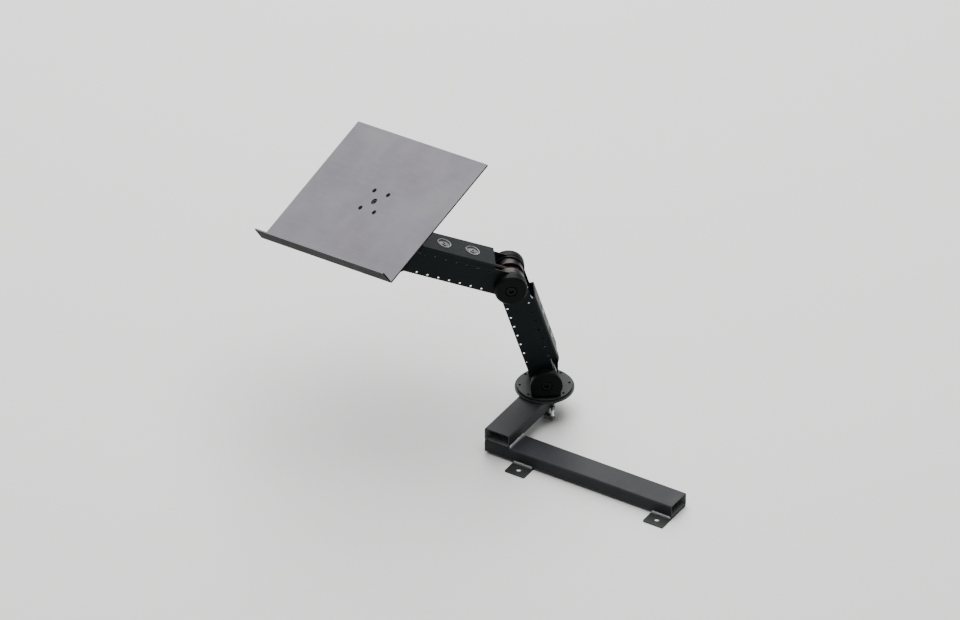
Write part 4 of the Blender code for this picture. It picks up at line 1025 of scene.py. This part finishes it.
def make_link(prefix, link, tongues, body, rod_body):
    """A link with its channel, port caps and damper."""
    high = local_box(prefix + "_channel", link)[1]
    piece(prefix + "_channel", channel_mesh(prefix, high.y, tongues), link, body, *CHANNEL,
          2.2 * MM)
    for number in (1, 2):
        node = f"{prefix}_port_cap_{number}"
        mesh, along = port_cap_mesh(node, link)
        piece(node, mesh, link @ shift(along, 0, 0), body, *BRIGHT)
    node = prefix + "_cylinder"
    piece(node, barrel_mesh(node, link), link @ shift(0, 0, DAMPER_LEVEL) @ ALONG_X, body,
          *BARREL)
    node = prefix + "_rod"
    neutral = yoke_centre(node, link)
    piece(node, rod_mesh(node, link, neutral),
          link @ shift(neutral, 0, DAMPER_LEVEL) @ ALONG_X, rod_body, *PHOSPHATED)


def make_hub_caps():
    """The black caps outside the elbow: chamfered rim, turned face and a sunk bolt seat."""
    for side, turn in (("near", ALONG_Y), ("far", AGAINST_Y)):
        node = "elbow_cap_" + side
        low, high = local_box(node, ELBOW_END @ turn)
        top, bottom, radius = high.z, low.z, high.x
        seat = top - SEAT_DEPTH
        profile = rounded([(SEAT_RADIUS, top, 0.5 * MM), (radius - 3 * MM, top, 0.6 * MM),
                           (radius, top - 3 * MM, 0.8 * MM), (radius, bottom, 0.4 * MM),
                           (PIVOT_BORE, bottom, 0.3 * MM), (PIVOT_BORE, seat, 0.3 * MM),
                           (SEAT_RADIUS, seat, 0.2 * MM)])
        mesh = turned_mesh(node, profile, SEGMENTS_LARGE, ring=True)
        piece(node, mesh, ELBOW_END @ turn, "lower_arm", *HUB)


# --- head and tray

def make_wrist():
    """The bracket at the wrist and the hub in the link's end."""
    mesh = bracket_mesh("wrist_bracket", HEAD, -1)
    piece("wrist_bracket", mesh, HEAD, "wrist_head", *HUB)
    ring_piece("wrist_hub", HEAD @ ALONG_Y, "wrist_head", PHOSPHATED, soft=0.8 * MM)


def make_roll_clevis():
    """The clevis under the tray, with its bolt and nut along the head's X."""
    low, high = local_box("roll_clevis", HEAD)
    middle = (low.x + high.x) / 2
    thick = 4.5 * MM
    base = filled_mesh("clevis", [rectangle(high.x - low.x, high.y - low.y, 2 * MM, (middle, 0))],
                       thick, FINE_EDGE)
    moved(base, shift(0, 0, low.z + thick / 2))
    radius = 10 * MM
    centre = high.z - radius
    root = low.z + thick - 2 * MM
    outline = arc((0, centre), radius, 0, 180, 40) + [(-radius, root), (radius, root)]
    wall = 4 * MM
    walls = [(filled_mesh("wall", [outline, circle((0, centre), SMALL_BORE)], wall, PLATE_EDGE),
              shift(x, 0, 0) @ END_ON) for x in (low.x + wall / 2, high.x - wall / 2)]
    piece("roll_clevis", combine(base, walls, "UNION"), HEAD, "wrist_head", *DISC)
    low, high = local_box("roll_bolt", HEAD)
    middle_z = (low.z + high.z) / 2
    head = [(6.5, 0, 0.8), (6.5, -4, 0.2), (4, -4, 0)]
    mesh = screw_mesh(low.x, high.x, head, (4, 0.6), 2.9 * MM, 2.4 * MM)
    piece("roll_bolt", mesh, HEAD @ shift(0, 0, middle_z) @ ALONG_X, "wrist_head", *ZINC)
    low, high = local_box("roll_nut", HEAD)
    mesh = nut_mesh(7.5 * MM, 4.2 * MM, high.x - low.x)
    piece("roll_nut", mesh, HEAD @ shift((low.x + high.x) / 2, 0, middle_z) @ ALONG_X,
          "wrist_head", *ZINC)


def make_tilt_block():
    """The block that tilts in the clevis, and the disc the tray swivels on."""
    low, high = local_box("tilt_block", TILT)
    radius = high.y
    outline = arc((0, 0), radius, 180, 360, 40)
    outline += rounded([(radius, 0, 0), (radius, high.z, MM), (-radius, high.z, MM),
                        (-radius, 0, 0)])[1:-1]
    mesh = filled_mesh("tilt", [outline, circle((0, 0), SMALL_BORE)], high.x - low.x, PLATE_EDGE)
    cut = END_ON.inverted() @ shift(0, 0, high.z)
    mesh = combine(mesh, [(drill(SMALL_BORE, 6 * MM), cut)], "DIFFERENCE")
    piece("tilt_block", mesh, TILT @ END_ON, "tilt_head", *ZINC)
    ring_piece("swivel_base_plate", TILT, "tilt_head", DISC, SMALL_BORE, PLATE_EDGE,
               SEGMENTS_LARGE)


def tray_hole_places():
    """The four screws' places on the tray."""
    return {f"tray_screw_{i}": sum(local_box(f"tray_screw_{i}", TRAY), Vector()) / 2
            for i in (1, 2, 3, 4)}


def make_tray_post():
    """The spool under the tray, and the bolt down its middle."""
    low, high = local_box("tray_post", TRAY)
    bottom, top = low.z, high.z
    flange = 4 * MM
    taper = flange + 2 * MM
    neck = 14 * MM
    base = 32 * MM
    seat = top - 3 * MM
    soft = 0.6 * MM
    profile = rounded([(NUT_BORE, top, 0.2 * MM), (high.x, top, soft),
                       (high.x, top - flange, soft), (neck, top - taper, 3 * MM),
                       (neck, bottom + taper, 3 * MM),
                       (base, bottom + flange, soft), (base, bottom, soft),
                       (SMALL_BORE, bottom, 0.2 * MM), (SMALL_BORE, seat, 0.1 * MM),
                       (NUT_BORE, seat, 0.1 * MM)])
    mesh = turned_mesh("post", profile, SEGMENTS_LARGE, ring=True)
    drills = [(drill(TRAY_SCREW_BORE, 12 * MM, SEGMENTS_TINY), shift(p.x, p.y, top))
              for p in tray_hole_places().values()]
    piece("tray_post", combine(mesh, drills, "DIFFERENCE"), TRAY, "tray_head", *DISC)
    low, high = local_box("tray_bolt", TRAY)
    head = [(5.8, 0, 0.7), (5.8, -4, 0.1), (4, -4, 0)]
    mesh = screw_mesh(low.z, high.z, head, (4, 0.6), 3 * MM, 2.6 * MM)
    piece("tray_bolt", mesh, TRAY, "tray_head", *GREY_OXIDE)


def make_tray():
    """The folded tray with its bend, rounded corners and countersunk holes."""
    low, high = local_box("tray", TRAY)
    sheet = 2.5 * MM
    fold = 2.2 * MM
    corner = 1.5 * MM
    sink = 2.2 * MM
    top = low.z + sheet
    middle = top - sheet / 2
    side = high.y
    front = high.x - sheet / 2
    bend = front - fold
    places = tray_hole_places().values()
    flat = [[(bend, -side), (bend, side)]
            + rounded([(bend, side, 0), (low.x, side, corner), (low.x, -side, corner),
                       (bend, -side, 0)])[1:-1], circle((0, 0), PIVOT_BORE)]
    flat += [circle((p.x, p.y), TRAY_SCREW_BORE, SEGMENTS_HOLE) for p in places]
    rise = high.z - middle
    lip = rounded([(-side, fold, 0), (-side, rise, corner), (side, rise, corner),
                   (side, fold, 0)])
    flats = [(flat, shift(0, 0, middle)), ([lip], shift(front, 0, middle) @ END_ON)]
    bend = [((x, -side, z), (x, side, z))
            for x, z in arc((bend, middle + fold), fold, -90, 0, FOLD_STEPS)]
    mesh = sheet_mesh("tray", flats, [bend], sheet, 0.35 * MM)
    profile = [(0, 2 * MM), (6.9 * MM, 2 * MM), (TRAY_SCREW_BORE, -sink), (0, -sink)]
    sinks = [(turned_mesh("sink", profile, SEGMENTS_SMALL), shift(p.x, p.y, top))
             for p in places]
    tray = piece("tray", combine(mesh, sinks, "DIFFERENCE"), TRAY, "tray_head", *TRAY_GREY)
    # Painted shade: the lip's front face, the underside and the side edges take the dark grey.
    repaint(tray, TRAY_PAINTED_SHADE, lambda face: face.normal.x > 0.3 or face.normal.z < -0.1
            or abs(face.normal.y) > 0.5)


def make_tray_screws():
    """The four countersunk screws, flush with the tray."""
    head = [(4.5, 0, 0.15), (2, -2.2, 0)]
    for node, p in tray_hole_places().items():
        low, high = local_box(node, TRAY)
        mesh = screw_mesh(low.z, high.z, head, (2, 0.4), 1.4 * MM, 1.5 * MM)
        piece(node, mesh, TRAY @ shift(p.x, p.y, 0), "tray_head", *BLACK_OXIDE)


# --- stage

def make_camera():
    """Long-lens camera, from the front and above."""
    data = bpy.data.cameras.new("camera")
    data.lens = CAMERA_LENS
    data.sensor_width = CAMERA_SENSOR
    data.clip_end = 100.0
    camera = as_object("camera", data)
    distance = VIEW_WIDTH * CAMERA_LENS / CAMERA_SENSOR
    back = Vector((math.sin(CAMERA_AZIMUTH) * math.cos(CAMERA_ELEVATION),
                   -math.cos(CAMERA_AZIMUTH) * math.cos(CAMERA_ELEVATION),
                   math.sin(CAMERA_ELEVATION)))
    camera.location = CAMERA_TARGET + back * distance
    camera.rotation_euler = back.to_track_quat("Z", "Y").to_euler()
    bpy.context.scene.camera = camera


def make_floor():
    """Plain pale floor."""
    bpy.ops.mesh.primitive_plane_add(size=30.0, location=(0, 0, 0))
    floor = bpy.context.object
    floor.name = "floor"
    look = Look("pale_floor")
    for name, value in (("Base Color", (0.74, 0.75, 0.73, 1.0)), ("Roughness", 0.9),
                        ("Specular IOR Level", 0.1)):
        look.shader.inputs[name].default_value = value
    floor.data.materials.append(look.material)


def soft_light(name, location, size, power, aim=(-0.1, 0.0, 0.2)):
    """Square area light aimed at the object."""
    data = bpy.data.lights.new(name, "AREA")
    data.size = size
    data.energy = power
    lamp = as_object(name, data)
    lamp.location = location
    lamp.rotation_euler = (Vector(location) - Vector(aim)).to_track_quat("Z", "Y").to_euler()


def make_studio():
    """Dim world, a broad lamp overhead and a low one behind for sheen on the level faces."""
    world = bpy.data.worlds.new("studio")
    bpy.context.scene.world = world
    world.use_nodes = True
    background = world.node_tree.nodes["Background"]
    background.inputs["Color"].default_value = (0.95, 0.97, 0.96, 1.0)
    background.inputs["Strength"].default_value = 0.25
    soft_light("overhead", (-0.4, 0.3, 5.0), 5.0, 470.0)
    soft_light("behind", (-2.1, 3.2, 2.7), 3.2, 190.0)


def make_object():
    """Every piece, from the floor up to the tray."""
    make_tubes()
    make_straps()
    make_welds()
    make_turntable()
    make_spindle()
    make_lever()
    make_shoulder_bracket()
    make_pivot("shoulder", BRACKET, "turntable")
    make_crank("shoulder_crank", BRACKET, pin_matrix(BRACKET, LOWER, "lower_rod"), "turntable")
    make_link("lower", LOWER, (TONGUE, ELBOW_TONGUE), "lower_arm", "lower_damper_rod")
    make_hub_caps()
    make_pivot("elbow", ELBOW_END, "lower_arm")
    make_crank("elbow_crank", ELBOW_END, pin_matrix(ELBOW_END, UPPER, "upper_rod"), "lower_arm")
    make_link("upper", UPPER, (ELBOW_TONGUE, TONGUE), "upper_arm", "upper_damper_rod")
    make_wrist()
    make_pivot("wrist", HEAD, "wrist_head")
    make_roll_clevis()
    make_tilt_block()
    make_tray_post()
    make_tray()
    make_tray_screws()


make_camera()
make_floor()
make_studio()
make_object()
